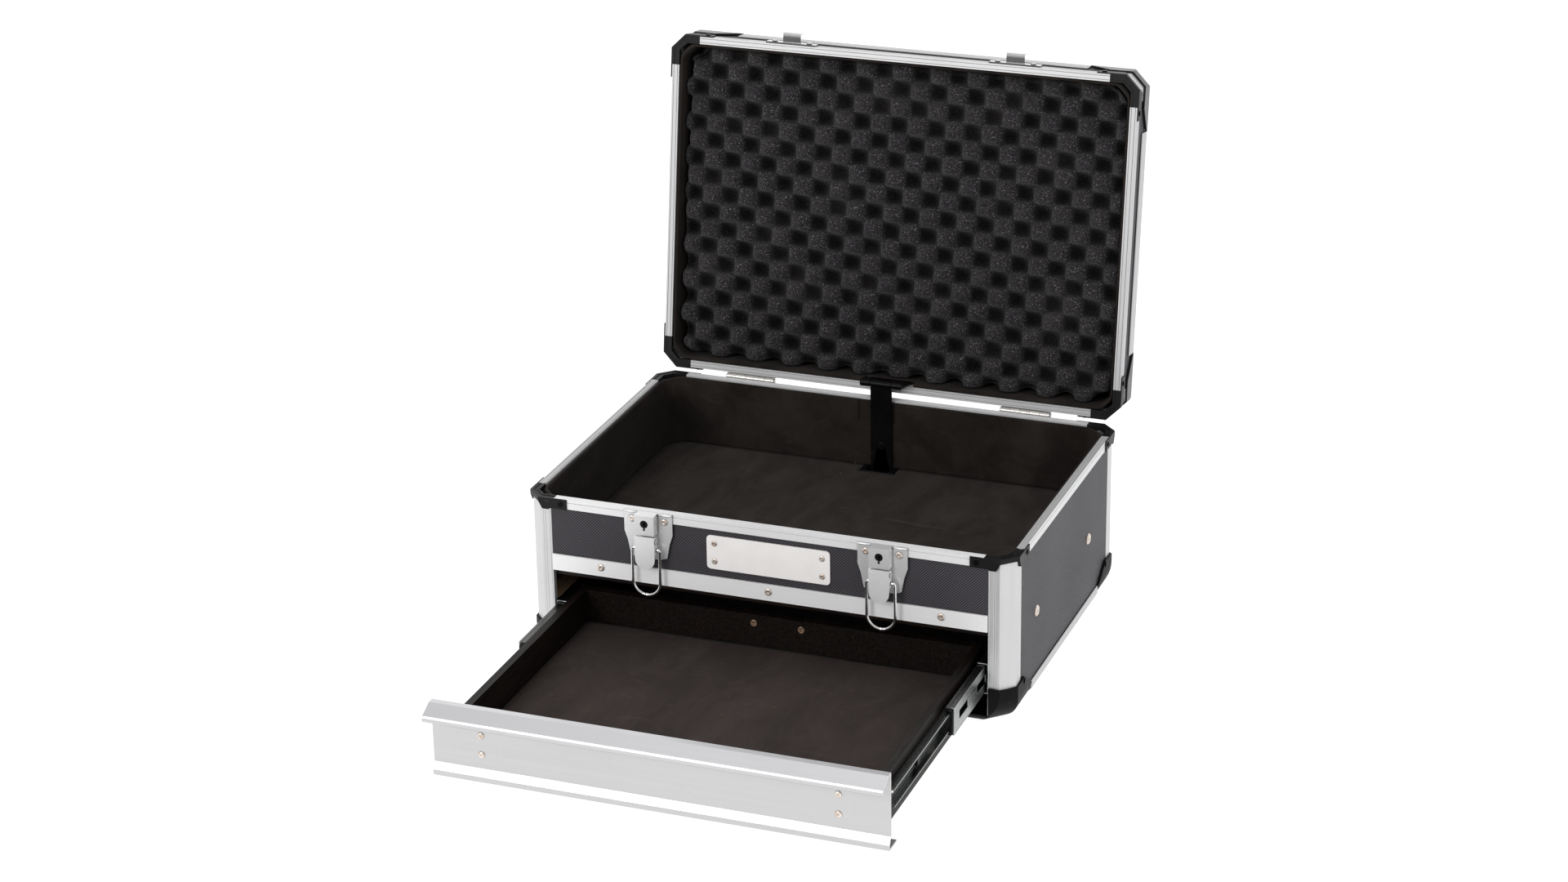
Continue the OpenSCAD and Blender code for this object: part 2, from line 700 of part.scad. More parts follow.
module drawer_buffers() {
  color([0.05, 0.05, 0.05]) at_base()
    for (x = [-90, 90]) rod_y(6, x, inner_y - 23.8, inner_y, -110);
}
module magnet_catch() {
  color([0.35, 0.27, 0.20]) at_base()
    slab(-12, 15, half_d - 28.9, half_d - 21.2, -105, floor_z);
}

// ---------- drawer, drawn shut ----------
drawer_top_z = -74.4;
box_in_x = box_x - 6.5;
box_in_front = -half_d + 9.9;
box_in_back = half_d - 40.5;

module drawer_rivet_places() {
  for (x = [-148.3, 148.3], z = [-99, -116])
    translate([x, rail_face_y, z]) rotate([90, 0, 0]) children();
}
module drawer_screw_places() {
  for (x = [-19.5, 22.5]) translate([x, box_in_back, -99]) rotate([90, 0, 0]) children();
}
module drawer_front() { // sheet with a pull lip along the top and a bent foot
  face = rail_face_y;
  low = drawer_top_z - drawer_front_h;
  color([0.84, 0.85, 0.86]) at_drawer() difference() {
    along_x(-bay_x + 0.6, bay_x - 0.6) polygon([
      [face + 2, drawer_top_z], [face - 4, drawer_top_z], [face - 16.6, -80.6],
      [face - 17.6, -82], [face - 17.6, -85], [face - 16.8, -85.8], [face - 15.8, -85],
      [face - 15.8, -82.4], [face - 3.6, -76.4], [face, -76.4],
      [face, low + 11.2], [face - 3, low + 5.2], [face - 3, low + 1], [face - 2, low],
      [face + 14, low], [face + 14, low + 1.6], [face - 1.3, low + 1.6],
      [face - 1.3, low + 5], [face + 1.8, low + 10.8], [face + 2, low + 12]]);
    drawer_rivet_places() hole(drawer_rivet_r, 12);
  }
}
module drawer_front_rivets() {
  color(rivet_brown) at_drawer() drawer_rivet_places()
    rivet(head_r = 2.9, head_h = 1, shank_r = drawer_rivet_r, shank_l = 9);
}
// bottom board let into the box walls, smaller than its groove by gap all round
module bottom_board(gap) {
  x = box_x - 4 - gap;
  slab(-x, x, -half_d + 7 + gap, half_d - 37 - gap, -129 + gap, -123 - gap);
}
module drawer_box_walls() {
  color([0.10, 0.09, 0.08]) at_drawer() difference() {
    slab(-box_x, box_x, -half_d + 1.9, half_d - 31.5, -134.4, -91.5);
    slab(-box_in_x, box_in_x, box_in_front, box_in_back, -140, -80);
    bottom_board(0);
    drawer_rivet_places() hole(drawer_rivet_r, 12);
    drawer_screw_places() hole(drawer_screw_r, 12);
  }
}
module drawer_bottom() {
  color([0.12, 0.10, 0.09]) at_drawer() bottom_board(0.1);
}
module drawer_mat() {
  x = box_in_x - 0.3;
  color([0.15, 0.13, 0.12]) at_drawer()
    slab(-x, x, box_in_front + 0.3, box_in_back - 0.3, -122.9, -119.5);
}
module drawer_back_screws() {
  color([0.60, 0.52, 0.44]) at_drawer() drawer_screw_places()
    screw(head_r = 3, head_h = 1.2, shank_r = drawer_screw_r, shank_l = 10.8);
}
module drawer_catch_plate() {
  color([0.72, 0.73, 0.74]) at_drawer() difference() {
    slab(-26, 29, half_d - 31.4, half_d - 29.9, -104, -93);
    drawer_screw_places() hole(drawer_screw_r, 12);
  }
}

// ---------- lid, drawn closed ----------
module lid_top_panel() {
  color(board_black) at_lid() flipped(lid_h) end_panel(t = 5.8, step = 2.35);
}
module lid_side_panels() { // all four walls
  color(wall_grey) at_lid() flipped(0) {
    both_x() side_wall(panel_margin - lid_h);
    both_y() back_wall(panel_margin - lid_h);
  }
}
module lid_rim() {
  color(rim_grey) at_lid() flipped(0) difference() {
    rim_strips();
    rim_screw_places() hole(rim_screw_r, 4);
  }
}
module lid_rim_corners() {
  color(corner_black) at_lid() flipped(0) drilled_rim_corners();
}
module lid_corner_screws() {
  color(screw_black) at_lid() flipped(0) rim_screws();
}
module lid_corner_posts() {
  color(trim_grey) at_lid() translate([0, 0, rim_top_t])
    linear_extrude(lid_h - 24) four() post_section();
}
module lid_edging() {
  color(trim_grey) at_lid() flipped(lid_h) {
    both_x() along_y(-edging_end_y, edging_end_y) edging_section(half_w, h = 26, cut = 12);
    both_y() along_x(-edging_end_x, edging_end_x) edging_section(half_d, h = 26, cut = 12);
  }
}
module lid_corner_protectors() {
  color(corner_black) at_lid() flipped(lid_h) four()
    protector(corner_h = 27, arm_h = 16, side_r = 16, front_r = 16, toe_r = 20);
}
module lid_liner() {
  color(liner_brown) at_lid() difference() {
    translate([0, 0, 1.2]) linear_extrude(lid_h - 9.2) polygon(liner_outline());
    linear_extrude(lid_h) polygon(round_rect(inner_x - 4, inner_y - 3.5, 22, 8));
    slab(-24, 24, half_d - 12, half_d, 0, 14); // room for the stay bracket
  }
}
module lid_foam() {
  color([0.11, 0.11, 0.12]) at_lid() difference() {
    translate([0, 0, 8]) linear_extrude(lid_h - 14)
      polygon(round_rect(inner_x - 4.8, inner_y - 4.3, 21, 8));
    slab(-24, 24, half_d - 15, half_d, 0, 14);
  }
}
module lid_strikes() {
  color(bright_metal) at_lid() latch_pair() {
    slab(-23, 23, -half_d - 1.5, -half_d, 0.6, 8.2);
    slab(-8.2, 8.2, -half_d - 9.8, -half_d - 1.4, 3.5, 4.5);
    slab(-8.2, 8.2, -half_d - 9.8, -half_d - 8.6, 3.5, 11.5);
    both_x() rod_y(2.4, 16, -half_d - 2.4, -half_d - 1.4, 4.4);
  }
}

// ---------- stay ----------
module stay_bracket() {
  pin_r = 1.62;
  color(stay_black) at_hinge() {
    difference() {
      union() {
        slab(-19, 19, half_d - 8.6, half_d - 7.4, stay_z, 12);
        both_x() rod_x(3, 10.3, 19, stay_y, stay_z);
        both_x() slab(10.3, 19, stay_y, half_d - 7.4, stay_z - 1.5, stay_z + 3);
      }
      rod_x(pin_r, -20, 20, stay_y, stay_z);
      slab(-10.3, 10.3, 0, half_d, stay_z - 5, stay_z + 5.5);
    }
    // pivot pin and the two rivets that hold the bracket to the rim
    both_x() rod_x(pin_r, 10.4, 19.6, stay_y, stay_z);
    rod_x(1.5, -10.5, 10.5, stay_y, stay_z);
    for (x = [-12, 12]) {
      rod_y(2.4, x, half_d - 9.5, half_d - 8.5, 5.4);
      rod_y(1.8, x, half_d - 7.5, inner_y, 5.4);
    }
  }
}
module stay_strap() { // hangs straight down from the swung pivot
  color(stay_black) translate([0, stay_open_y, base_h + stay_open_z]) difference() {
    union() {
      rod_x(3, -9.9, 9.9, 0, 0);
      slab(-9.9, 9.9, -0.8, 0.8, -91, 0);
      slab(-15.5, 15.5, -0.8, 0.8, -96, -90.9);
      rod_y(3.2, 0, -1.8, -0.7, -59);
    }
    rod_x(1.56, -11, 11, 0, 0);
  }
}

// ---------- carry handle on the lid top ----------
grip_x = grip_l / 2;
handle_y = -14; // handle pivot
handle_z = lid_h + 7.5;
handle_reach = 26; // pivot to grip

module handle_brackets() {
  color(bright_metal) at_lid() both_x() {
    slab(grip_x - 9, grip_x + 9, -23, -6, lid_h, lid_h + 1.2);
    for (x = [grip_x - 6.2, grip_x + 4.3]) along_x(x, x + 1.9)
      polygon([[-20, lid_h + 1], [-18.5, lid_h + 9], [-16.5, lid_h + 11],
        [-12, lid_h + 11.5], [-10.5, lid_h + 9], [-9, lid_h + 1]]);
    rod_x(2.5, grip_x - 6, grip_x + 6, handle_y, handle_z);
  }
}
module carry_handle() {
  arm_x0 = grip_x - 4;
  arm_x1 = grip_x + 4;
  color([0.06, 0.06, 0.07]) at_lid() translate([0, handle_y, handle_z]) {
    rod_x(6, -grip_x, grip_x, handle_reach, 0);
    both_x() difference() {
      union() {
        slab(arm_x0, arm_x1, 0, handle_reach, -4, 4);
        rod_x(5, arm_x0, arm_x1, 0, 0);
        rod_x(6, arm_x0, arm_x1, handle_reach, 0);
      }
      rod_x(2.56, arm_x0 - 1, arm_x1 + 1, 0, 0);
    }
  }
}

bottom_panel();
side_panels();
back_panel();
front_panel();
compartment_floor();
compartment_liner();
compartment_mat();
corner_posts();
base_rim();
base_rim_corners();
base_corner_screws();
front_rail();
case_rivets();
front_sill();
bottom_edging();
foot_corners();
name_plate();
name_plate_rivets();
latch_plates();
latch_plate_screws();
latch_pivot_pins();
lock_plug_left();
lock_plug_right();
latch_lever_left();
latch_lever_right();
latch_bail_left();
latch_bail_right();
hinge_base_leaves();
hinge_pins();
hinge_lid_leaves();
slide_battens();
slide_outer_members();
slide_middle_left();
slide_middle_right();
slide_inner_members();
stay_slot_plate();
drawer_buffers();
magnet_catch();
drawer_front();
drawer_box_walls();
drawer_bottom();
drawer_mat();
drawer_front_rivets();
drawer_catch_plate();
drawer_back_screws();
lid_top_panel();
lid_side_panels();
lid_rim();
lid_rim_corners();
lid_corner_screws();
lid_corner_posts();
lid_edging();
lid_corner_protectors();
lid_liner();
lid_foam();
lid_strikes();
stay_bracket();
stay_strap();
handle_brackets();
carry_handle();
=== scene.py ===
"""An aluminium-edged equipment case with an open, foam-lined lid and a drawer pulled out.

The case stands on z = 0 with its front towards -y and its width along x. The lid is hinged
at the back. Shapes are worked out in millimetres from the middle of the parting plane, the
lid's as if it were shut, and are put in place in metres. Materials are in metres.
"""

import math

import bpy
import bmesh
import numpy as np
from mathutils import Matrix, Vector, noise

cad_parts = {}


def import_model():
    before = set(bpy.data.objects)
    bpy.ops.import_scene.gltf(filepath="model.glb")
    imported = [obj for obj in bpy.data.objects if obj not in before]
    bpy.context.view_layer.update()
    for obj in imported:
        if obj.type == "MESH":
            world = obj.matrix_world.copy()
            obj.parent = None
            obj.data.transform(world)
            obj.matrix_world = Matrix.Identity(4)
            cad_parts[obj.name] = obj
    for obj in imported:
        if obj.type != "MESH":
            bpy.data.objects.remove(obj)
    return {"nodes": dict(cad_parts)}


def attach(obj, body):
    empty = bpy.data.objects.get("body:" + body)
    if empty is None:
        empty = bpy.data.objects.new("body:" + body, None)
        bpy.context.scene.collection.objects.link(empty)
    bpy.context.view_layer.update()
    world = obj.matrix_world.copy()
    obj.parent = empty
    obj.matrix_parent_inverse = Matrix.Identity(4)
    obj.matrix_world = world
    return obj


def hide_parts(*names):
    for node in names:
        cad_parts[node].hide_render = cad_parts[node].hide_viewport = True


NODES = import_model()["nodes"]
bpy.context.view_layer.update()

MM = 0.001
PARTING_Z = 150.0                     # height of the parting plane above the floor
HINGE_Y, HINGE_Z = 153.38, 0.05       # hinge line, from the parting plane
LID_ANGLE = math.radians(98.05)       # how far the lid stands open
LATCH_X = 102.0                       # each latch from the middle
SIDES = (("left", -1), ("right", 1))
Y_AXIS, Z_AXIS = 1, 2


# ---------------------------------------------------------------- placing and meshing
def at_base(point):
    """Millimetres from the parting plane to metres from the floor."""
    x, y, z = point
    return (x * MM, y * MM, (z + PARTING_Z) * MM)


def at_lid(point):
    """The same for a point of the shut lid, which is swung open about the hinge."""
    x, y, z = point
    y, z = y - HINGE_Y, z - HINGE_Z
    cos, sin = math.cos(LID_ANGLE), math.sin(LID_ANGLE)
    return at_base((x, HINGE_Y + y * cos + z * sin, HINGE_Z - y * sin + z * cos))


def make(name, points, faces, place=at_base, smooth=True):
    mesh = bpy.data.meshes.new(name)
    mesh.from_pydata([place(point) for point in points], [], faces)
    mesh.validate()
    work = bmesh.new()
    work.from_mesh(mesh)
    bmesh.ops.recalc_face_normals(work, faces=work.faces)
    work.to_mesh(mesh)
    work.free()
    mesh.polygons.foreach_set("use_smooth", [smooth] * len(mesh.polygons))
    piece = bpy.data.objects.new(name, mesh)
    bpy.context.scene.collection.objects.link(piece)
    return piece


def grid_faces(rows, columns, wrap_rows=False, wrap_columns=True, start=0):
    """Quads between rows of points that are numbered row by row."""
    faces = []
    for row in range(rows if wrap_rows else rows - 1):
        low, high = start + row * columns, start + (row + 1) % rows * columns
        for column in range(columns if wrap_columns else columns - 1):
            after = (column + 1) % columns
            faces.append((low + column, low + after, high + after, high + column))
    return faces


def capped_faces(rings, sides):
    """Quads between closed rings, with a face over each end."""
    return grid_faces(rings, sides) + [
        tuple(range(sides - 1, -1, -1)),
        tuple(range((rings - 1) * sides, rings * sides)),
    ]


def band_faces(first, second):
    """Quads between two closed rings given as lists of point numbers."""
    count = len(first)
    return [(first[i], second[i], second[(i + 1) % count], first[(i + 1) % count])
            for i in range(count)]


def join_parts(parts):
    points, faces = [], []
    for part_points, part_faces in parts:
        start = len(points)
        points += part_points
        faces += [tuple(i + start for i in face) for face in part_faces]
    return points, faces


def cut_box(piece, low, high, place):
    """Cuts out of a piece the box between two corners."""
    (x0, y0, z0), (x1, y1, z1) = low, high
    points = [(x, y, z) for z in (z0, z1) for x, y in ((x0, y0), (x1, y0), (x1, y1), (x0, y1))]
    faces = [(0, 3, 2, 1), (4, 5, 6, 7)] + grid_faces(2, 4)
    cutter = make("cut", points, faces, place, smooth=False)
    cut = piece.modifiers.new("cut", "BOOLEAN")
    cut.operation = "DIFFERENCE"
    cut.solver = "EXACT"
    cut.object = cutter
    bpy.context.view_layer.update()
    graph = bpy.context.evaluated_depsgraph_get()
    mesh = bpy.data.meshes.new_from_object(piece.evaluated_get(graph))
    piece.modifiers.clear()
    piece.data = mesh
    bpy.data.objects.remove(cutter)


def finish_piece(piece, material, body, slot, *replaced):
    piece.data.materials.clear()
    piece.data.materials.append(MATERIALS[material])
    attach(piece, body)
    if replaced:
        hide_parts(*replaced)


def add_parts(name, parts, material, body, slot, *replaced, smooth=True):
    """One object from several closed parts, placed in the base."""
    piece = make(name, *join_parts(parts), smooth=smooth)
    finish_piece(piece, material, body, slot, *replaced)


def wobble(x, y, scale, seed):
    """Smooth noise, about -1 to 1; the seed is the third coordinate."""
    return noise.noise(Vector((x * scale, y * scale, seed)))


# ---------------------------------------------------------------- edges and shading
EDGE_ANGLE = math.radians(22)         # sharper edges are rounded and shaded as edges
FLAT_ANGLE = math.radians(0.6)        # faces closer than this are merged
WELD_DISTANCE = 2e-6


def edge_shading():
    """A node group that shades smooth but keeps edges over EDGE_ANGLE sharp."""
    group = bpy.data.node_groups.new("edges_22_1", "GeometryNodeTree")
    for direction in ("INPUT", "OUTPUT"):
        group.interface.new_socket("Geometry", in_out=direction,
                                   socket_type="NodeSocketGeometry")
    source = group.nodes.new("NodeGroupInput")
    result = group.nodes.new("NodeGroupOutput")
    faces = group.nodes.new("GeometryNodeSetShadeSmooth")
    faces.domain = "FACE"
    edges = group.nodes.new("GeometryNodeSetShadeSmooth")
    edges.domain = "EDGE"
    edges.inputs["Shade Smooth"].default_value = False
    angle = group.nodes.new("GeometryNodeInputMeshEdgeAngle")
    compare = group.nodes.new("FunctionNodeCompare")
    compare.data_type = "FLOAT"
    compare.operation = "GREATER_THAN"
    compare.inputs[1].default_value = EDGE_ANGLE
    link = group.links.new
    link(angle.outputs["Unsigned Angle"], compare.inputs[0])
    link(source.outputs[0], faces.inputs["Geometry"])
    link(faces.outputs[0], edges.inputs["Geometry"])
    link(compare.outputs[0], edges.inputs["Selection"])
    link(edges.outputs[0], result.inputs[0])
    return group


def soften(piece, width, shading):
    """Welds split vertices, rounds the edges by width (mm) and shades by angle."""
    mesh = piece.data
    if mesh.has_custom_normals:
        normals = mesh.attributes.get("custom_normal")
        if normals is not None:
            mesh.attributes.remove(normals)
    weld = piece.modifiers.new("weld", "WELD")
    weld.merge_threshold = WELD_DISTANCE
    flat = piece.modifiers.new("flat", "DECIMATE")
    flat.decimate_type = "DISSOLVE"
    flat.angle_limit = FLAT_ANGLE
    bevel = piece.modifiers.new("round", "BEVEL")
    bevel.width = width * MM
    bevel.segments = 2
    bevel.limit_method = "ANGLE"
    bevel.angle_limit = EDGE_ANGLE
    bevel.use_clamp_overlap = True
    bevel.miter_outer = "MITER_ARC"
    bevel.harden_normals = False
    piece.modifiers.new("shade", "NODES").node_group = shading
    weighted = piece.modifiers.new("flat_faces", "WEIGHTED_NORMAL")
    weighted.mode = "FACE_AREA"
    weighted.weight = 50
    weighted.keep_sharp = True


# ---------------------------------------------------------------- material tools
MATERIALS = {}
SOCKETS = {
    "color": "Base Color", "rough": "Roughness", "metal": "Metallic", "normal": "Normal",
    "spec": "Specular IOR Level", "sheen": "Sheen Weight", "sheen_rough": "Sheen Roughness",
}


def shade(color, factor):
    return tuple(part * factor for part in color)


class Shader:
    """A Principled material fed by fields of the coordinates, kept in MATERIALS."""

    def __init__(self, name, lid=False):
        material = MATERIALS[name] = bpy.data.materials.new(name)
        material.use_nodes = True
        self.tree = material.node_tree
        self.tree.nodes.clear()
        output = self.node("ShaderNodeOutputMaterial")
        self.surface = self.node("ShaderNodeBsdfPrincipled")
        self.link(self.surface.outputs[0], output.inputs["Surface"])
        self.coords = self.node("ShaderNodeTexCoord").outputs["Object"]
        if lid:                       # back to where the lid lies when shut
            turn = self.node("ShaderNodeVectorRotate")
            turn.rotation_type = "X_AXIS"
            turn.inputs["Center"].default_value = at_base((0, HINGE_Y, HINGE_Z))
            turn.inputs["Angle"].default_value = LID_ANGLE
            self.link(self.coords, turn.inputs["Vector"])
            self.coords = turn.outputs[0]

    def node(self, kind):
        return self.tree.nodes.new(kind)

    def link(self, value, socket):
        """Feeds a socket from another socket or from a constant."""
        if isinstance(value, bpy.types.NodeSocket):
            self.tree.links.new(value, socket)
        else:
            socket.default_value = value

    def math(self, operation, *values, clamp=False):
        node = self.node("ShaderNodeMath")
        node.operation = operation
        node.use_clamp = clamp
        for i, value in enumerate(values):
            self.link(value, node.inputs[i])
        return node.outputs[0]

    def add(self, first, second):
        return self.math("ADD", first, second)

    def times(self, value, factor):
        return self.math("MULTIPLY", value, factor)

    def linear(self, value, gain, offset):
        return self.math("MULTIPLY_ADD", value, gain, offset)

    def relief(self, *fields):
        """Sum of (field, height) pairs, each field times its height."""
        total = None
        for field, height in fields:
            part = self.times(field, height)
            total = part if total is None else self.add(total, part)
        return total

    def split(self):
        node = self.node("ShaderNodeSeparateXYZ")
        self.link(self.coords, node.inputs[0])
        return node.outputs

    def combine(self, *parts):
        node = self.node("ShaderNodeCombineXYZ")
        for i, part in enumerate(parts):
            self.link(part, node.inputs[i])
        return node.outputs[0]

    def drawn(self, along, by):
        """The coordinates, scaled along one axis; below 1 draws patterns out along it."""
        node = self.node("ShaderNodeVectorMath")
        node.operation = "MULTIPLY"
        self.link(self.coords, node.inputs[0])
        node.inputs[1].default_value = tuple(by if axis == along else 1 for axis in "xyz")
        return node.outputs[0]

    def noise(self, scale, detail=3, rough=0.5, distortion=0.0, at=None):
        node = self.node("ShaderNodeTexNoise")
        self.link(self.coords if at is None else at, node.inputs["Vector"])
        node.inputs["Scale"].default_value = scale
        node.inputs["Detail"].default_value = detail
        node.inputs["Roughness"].default_value = rough
        node.inputs["Distortion"].default_value = distortion
        return node.outputs["Fac"]

    def voronoi(self, scale, feature="F1", at=None):
        node = self.node("ShaderNodeTexVoronoi")
        node.feature = feature
        self.link(self.coords if at is None else at, node.inputs["Vector"])
        node.inputs["Scale"].default_value = scale
        return node.outputs["Distance"]

    def remap(self, value, span, to=(0, 1), smooth=False):
        """Maps the span of a value to another, clamped at both ends."""
        node = self.node("ShaderNodeMapRange")
        node.interpolation_type = "SMOOTHSTEP" if smooth else "LINEAR"
        self.link(value, node.inputs[0])
        for i, limit in enumerate((*span, *to)):
            node.inputs[i + 1].default_value = limit
        node.clamp = True
        return node.outputs[0]

    def mix(self, factor, first, second):
        node = self.node("ShaderNodeMix")
        node.data_type = "RGBA"
        node.blend_type = "MIX"
        self.link(factor, node.inputs["Factor"])
        for color, i in ((first, 6), (second, 7)):
            self.link((*color, 1) if isinstance(color, tuple) else color, node.inputs[i])
        return node.outputs[2]

    def tint(self, color, toward, by, span, amount=(0, 1), smooth=False):
        """Mixes toward a second colour as a field crosses its span."""
        return self.mix(self.remap(by, span, amount, smooth), color, toward)

    def bump(self, height, strength, dist, normal=None):
        node = self.node("ShaderNodeBump")
        node.inputs["Strength"].default_value = strength
        node.inputs["Distance"].default_value = dist
        self.link(height, node.inputs["Height"])
        if normal is not None:
            self.link(normal, node.inputs["Normal"])
        return node.outputs[0]

    def painted_crevice_shade(self, color, dark, reach, span, most=1.0):
        """Painted shade: darkens the grooves and joints where surfaces meet, by how little light
        reaches them.
        """
        node = self.node("ShaderNodeAmbientOcclusion")
        node.samples = 6
        node.inputs["Distance"].default_value = reach
        return self.tint(color, dark, by=node.outputs["AO"], span=span, amount=(most, 0.0))

    def facing(self, axis):
        """Component of the outward normal along a world axis."""
        node = self.node("ShaderNodeSeparateXYZ")
        self.link(self.node("ShaderNodeNewGeometry").outputs["Normal"], node.inputs[0])
        return node.outputs[axis]

    def set(self, **values):
        for name, value in values.items():
            self.link(value, self.surface.inputs[SOCKETS[name]])


# ---------------------------------------------------------------- aluminium
DRAW = 0.012                          # how far the streaks are drawn out
RIM_END_Y = 0.1405                    # the front and back strips of the rim lie beyond
CASE_HALF = (0.2125, 0.1500)          # half width and half depth at the corner angles
RIB_DISTANCES = (0.0150, 0.0170, 0.0208)   # drawn lines, in from the case's sides
RIB_HALF_WIDTH = 0.00045


def rim_grain(mat, x, y, z):
    """Front and back strips are drawn along x, side strips along y."""
    ends = mat.math("GREATER_THAN", mat.math("ABSOLUTE", y), RIM_END_Y)
    along_x = mat.combine(mat.times(x, DRAW), y, z)
    along_y = mat.combine(x, mat.times(y, DRAW), z)
    choose = mat.node("ShaderNodeMix")
    choose.data_type = "VECTOR"
    mat.link(ends, choose.inputs["Factor"])
    mat.link(along_y, choose.inputs[4])
    mat.link(along_x, choose.inputs[5])
    return ends, choose.outputs[1]


def corner_ribs(mat, x, y):
    """Fine drawn lines of the corner angles."""
    inward = [mat.math("SUBTRACT", half, mat.math("ABSOLUTE", axis))
              for half, axis in zip(CASE_HALF, (x, y))]
    lines = None
    for distance in RIB_DISTANCES:
        for depth in inward:
            off = mat.math("ABSOLUTE", mat.math("SUBTRACT", depth, distance))
            line = mat.math("SUBTRACT", 1.0, mat.math("DIVIDE", off, RIB_HALF_WIDTH),
                            clamp=True)
            lines = line if lines is None else mat.math("MAXIMUM", lines, line)
    return lines


def painted_shade_strips(mat, ends, y, lid):
    """Where the rim is drawn darker as painted shade: the side strips, on the base most on their
    upward faces, and partly the back one.
    """
    flat = 0.5 if lid else mat.remap(mat.facing(Z_AXIS), span=(0.3, 0.8))
    on_sides = mat.math("SUBTRACT", 1.0, ends)
    sides = mat.math("MULTIPLY", on_sides, mat.linear(flat, gain=0.6, offset=0.4))
    back = mat.times(mat.math("GREATER_THAN", y, RIM_END_Y), factor=0.45)
    return mat.math("MAXIMUM", sides, back)


def aluminium(name, along, base, lid=False, tint=(1.0, 0.998, 1.004), rough=0.42, fine=1.0,
              metal=0.60, cloudy=0.20, side=None, lip=0.0):
    """Satin extrusion with streaks along its length, a few scuffs and dull spots.

    along is x, z (corner angles, with drawn lines) or rim. side is how bright the side
    strips are painted, a painted shade; lip is a painted highlight: how much brighter the
    upward slopes are painted.
    """
    mat = Shader(name, lid)
    if along != "x":
        x, y, z = mat.split()
    if along == "rim":
        ends, grain = rim_grain(mat, x, y, z)
    else:
        grain = mat.drawn(along, by=DRAW)
    streak = mat.noise(scale=900 * fine, rough=0.6, at=grain)
    wide = mat.noise(scale=160 * fine, at=grain)
    cloud = mat.noise(scale=22, detail=4, rough=0.55)
    speck = mat.noise(scale=420, detail=2)
    cracks = mat.voronoi(scale=130, feature="DISTANCE_TO_EDGE", at=mat.drawn("x", by=1))
    patches = mat.noise(scale=45, detail=2)
    scratch = mat.math("MULTIPLY", mat.remap(cracks, span=(0.0, 0.012), to=(1, 0)),
                       mat.remap(patches, span=(0.60, 0.68)))
    color = mat.tint(shade(tint, base * 0.97), shade(tint, base * 1.03), by=wide,
                     span=(0.3, 0.7))
    color = mat.tint(color, shade(tint, base * 0.93), by=streak, span=(0.35, 0.65),
                     amount=(0, 0.22))
    color = mat.tint(color, shade((0.72, 0.71, 0.69), base), by=cloud, span=(0.62, 0.80),
                     amount=(0, cloudy))
    color = mat.mix(mat.times(scratch, factor=0.35), color, (base * 0.62,) * 3)
    roughness = mat.add(mat.remap(streak, span=(0.3, 0.7), to=(rough - 0.05, rough + 0.06)),
                        mat.remap(cloud, span=(0.4, 0.75), to=(0.0, 0.09)))
    height = mat.relief((streak, 0.5), (wide, 0.25))
    height = mat.math("SUBTRACT", height, mat.times(scratch, factor=0.6))
    height = mat.add(height, mat.times(speck, factor=0.15))
    normal = mat.bump(height, strength=0.10, dist=0.00018)
    if along == "z":
        lines = corner_ribs(mat, x, y)
        normal = mat.bump(lines, strength=0.55, dist=-0.00030, normal=normal)
        color = mat.mix(mat.times(lines, factor=0.22), color, (base * 0.72,) * 3)
    # painted highlight: faces sloping upward drawn brighter
    if lip:
        color = mat.tint(color, (base + lip, base + lip, base + lip * 1.25),
                         by=mat.facing(Z_AXIS), span=(0.35, 0.75))
    # painted shade: the rim's side strips, and partly the back one, drawn darker
    if side is not None:
        color = mat.mix(painted_shade_strips(mat, ends, y, lid), color,
                        shade((1, 1, 1.01), base * side))
    # painted shade in grooves and joints
    color = mat.painted_crevice_shade(color, dark=shade((0.30, 0.30, 0.31), base), reach=0.0022,
                        span=(0.40, 0.80), most=0.75)
    mat.set(color=color, rough=roughness, metal=metal, spec=0.4, normal=normal)


# ---------------------------------------------------------------- films, plastic and foam
BEAD_PITCH = 0.00172


def laminate(name, plane, lid=False):
    """Dark textured laminate: slanted rows of small raised beads."""
    mat = Shader(name, lid)
    x, y, z = mat.split()
    across, upward = (mat.add(x, y), z) if plane == "side" else (x, y)
    sway = mat.remap(mat.noise(scale=60, detail=2), span=(0, 1), to=(-0.00012, 0.00012))

    def rows(operation):
        slant = mat.add(mat.math(operation, across, upward), sway)
        phase = mat.times(slant, factor=2 * math.pi / (BEAD_PITCH * math.sqrt(2)))
        return mat.linear(mat.math("SINE", phase), gain=0.5, offset=0.5)

    bead = mat.math("MULTIPLY", rows("SUBTRACT"), mat.linear(rows("ADD"), gain=0.62, offset=0.38))
    cloud = mat.noise(scale=9, detail=4, rough=0.55)
    dust = mat.noise(scale=380, detail=2, rough=0.6)
    color = mat.tint((0.0132, 0.0122, 0.0142), (0.106, 0.0990, 0.1130), by=bead,
                     span=(0.12, 0.80), smooth=True)
    color = mat.tint(color, (0.074, 0.069, 0.080), by=cloud, span=(0.45, 0.8), amount=(0, 0.20))
    color = mat.tint(color, (0.25, 0.24, 0.24), by=dust, span=(0.70, 0.80), amount=(0, 0.25))
    # painted shade in grooves and joints
    color = mat.painted_crevice_shade(color, dark=(0.006, 0.006, 0.007), reach=0.0025, span=(0.42, 0.80))
    rough = mat.add(mat.remap(bead, span=(0, 1), to=(0.52, 0.36)),
                    mat.remap(cloud, span=(0.4, 0.8), to=(0, 0.10)))
    height = mat.add(bead, mat.times(dust, factor=0.08))
    mat.set(color=color, rough=rough, spec=0.22,
            normal=mat.bump(height, strength=0.55, dist=0.00022))


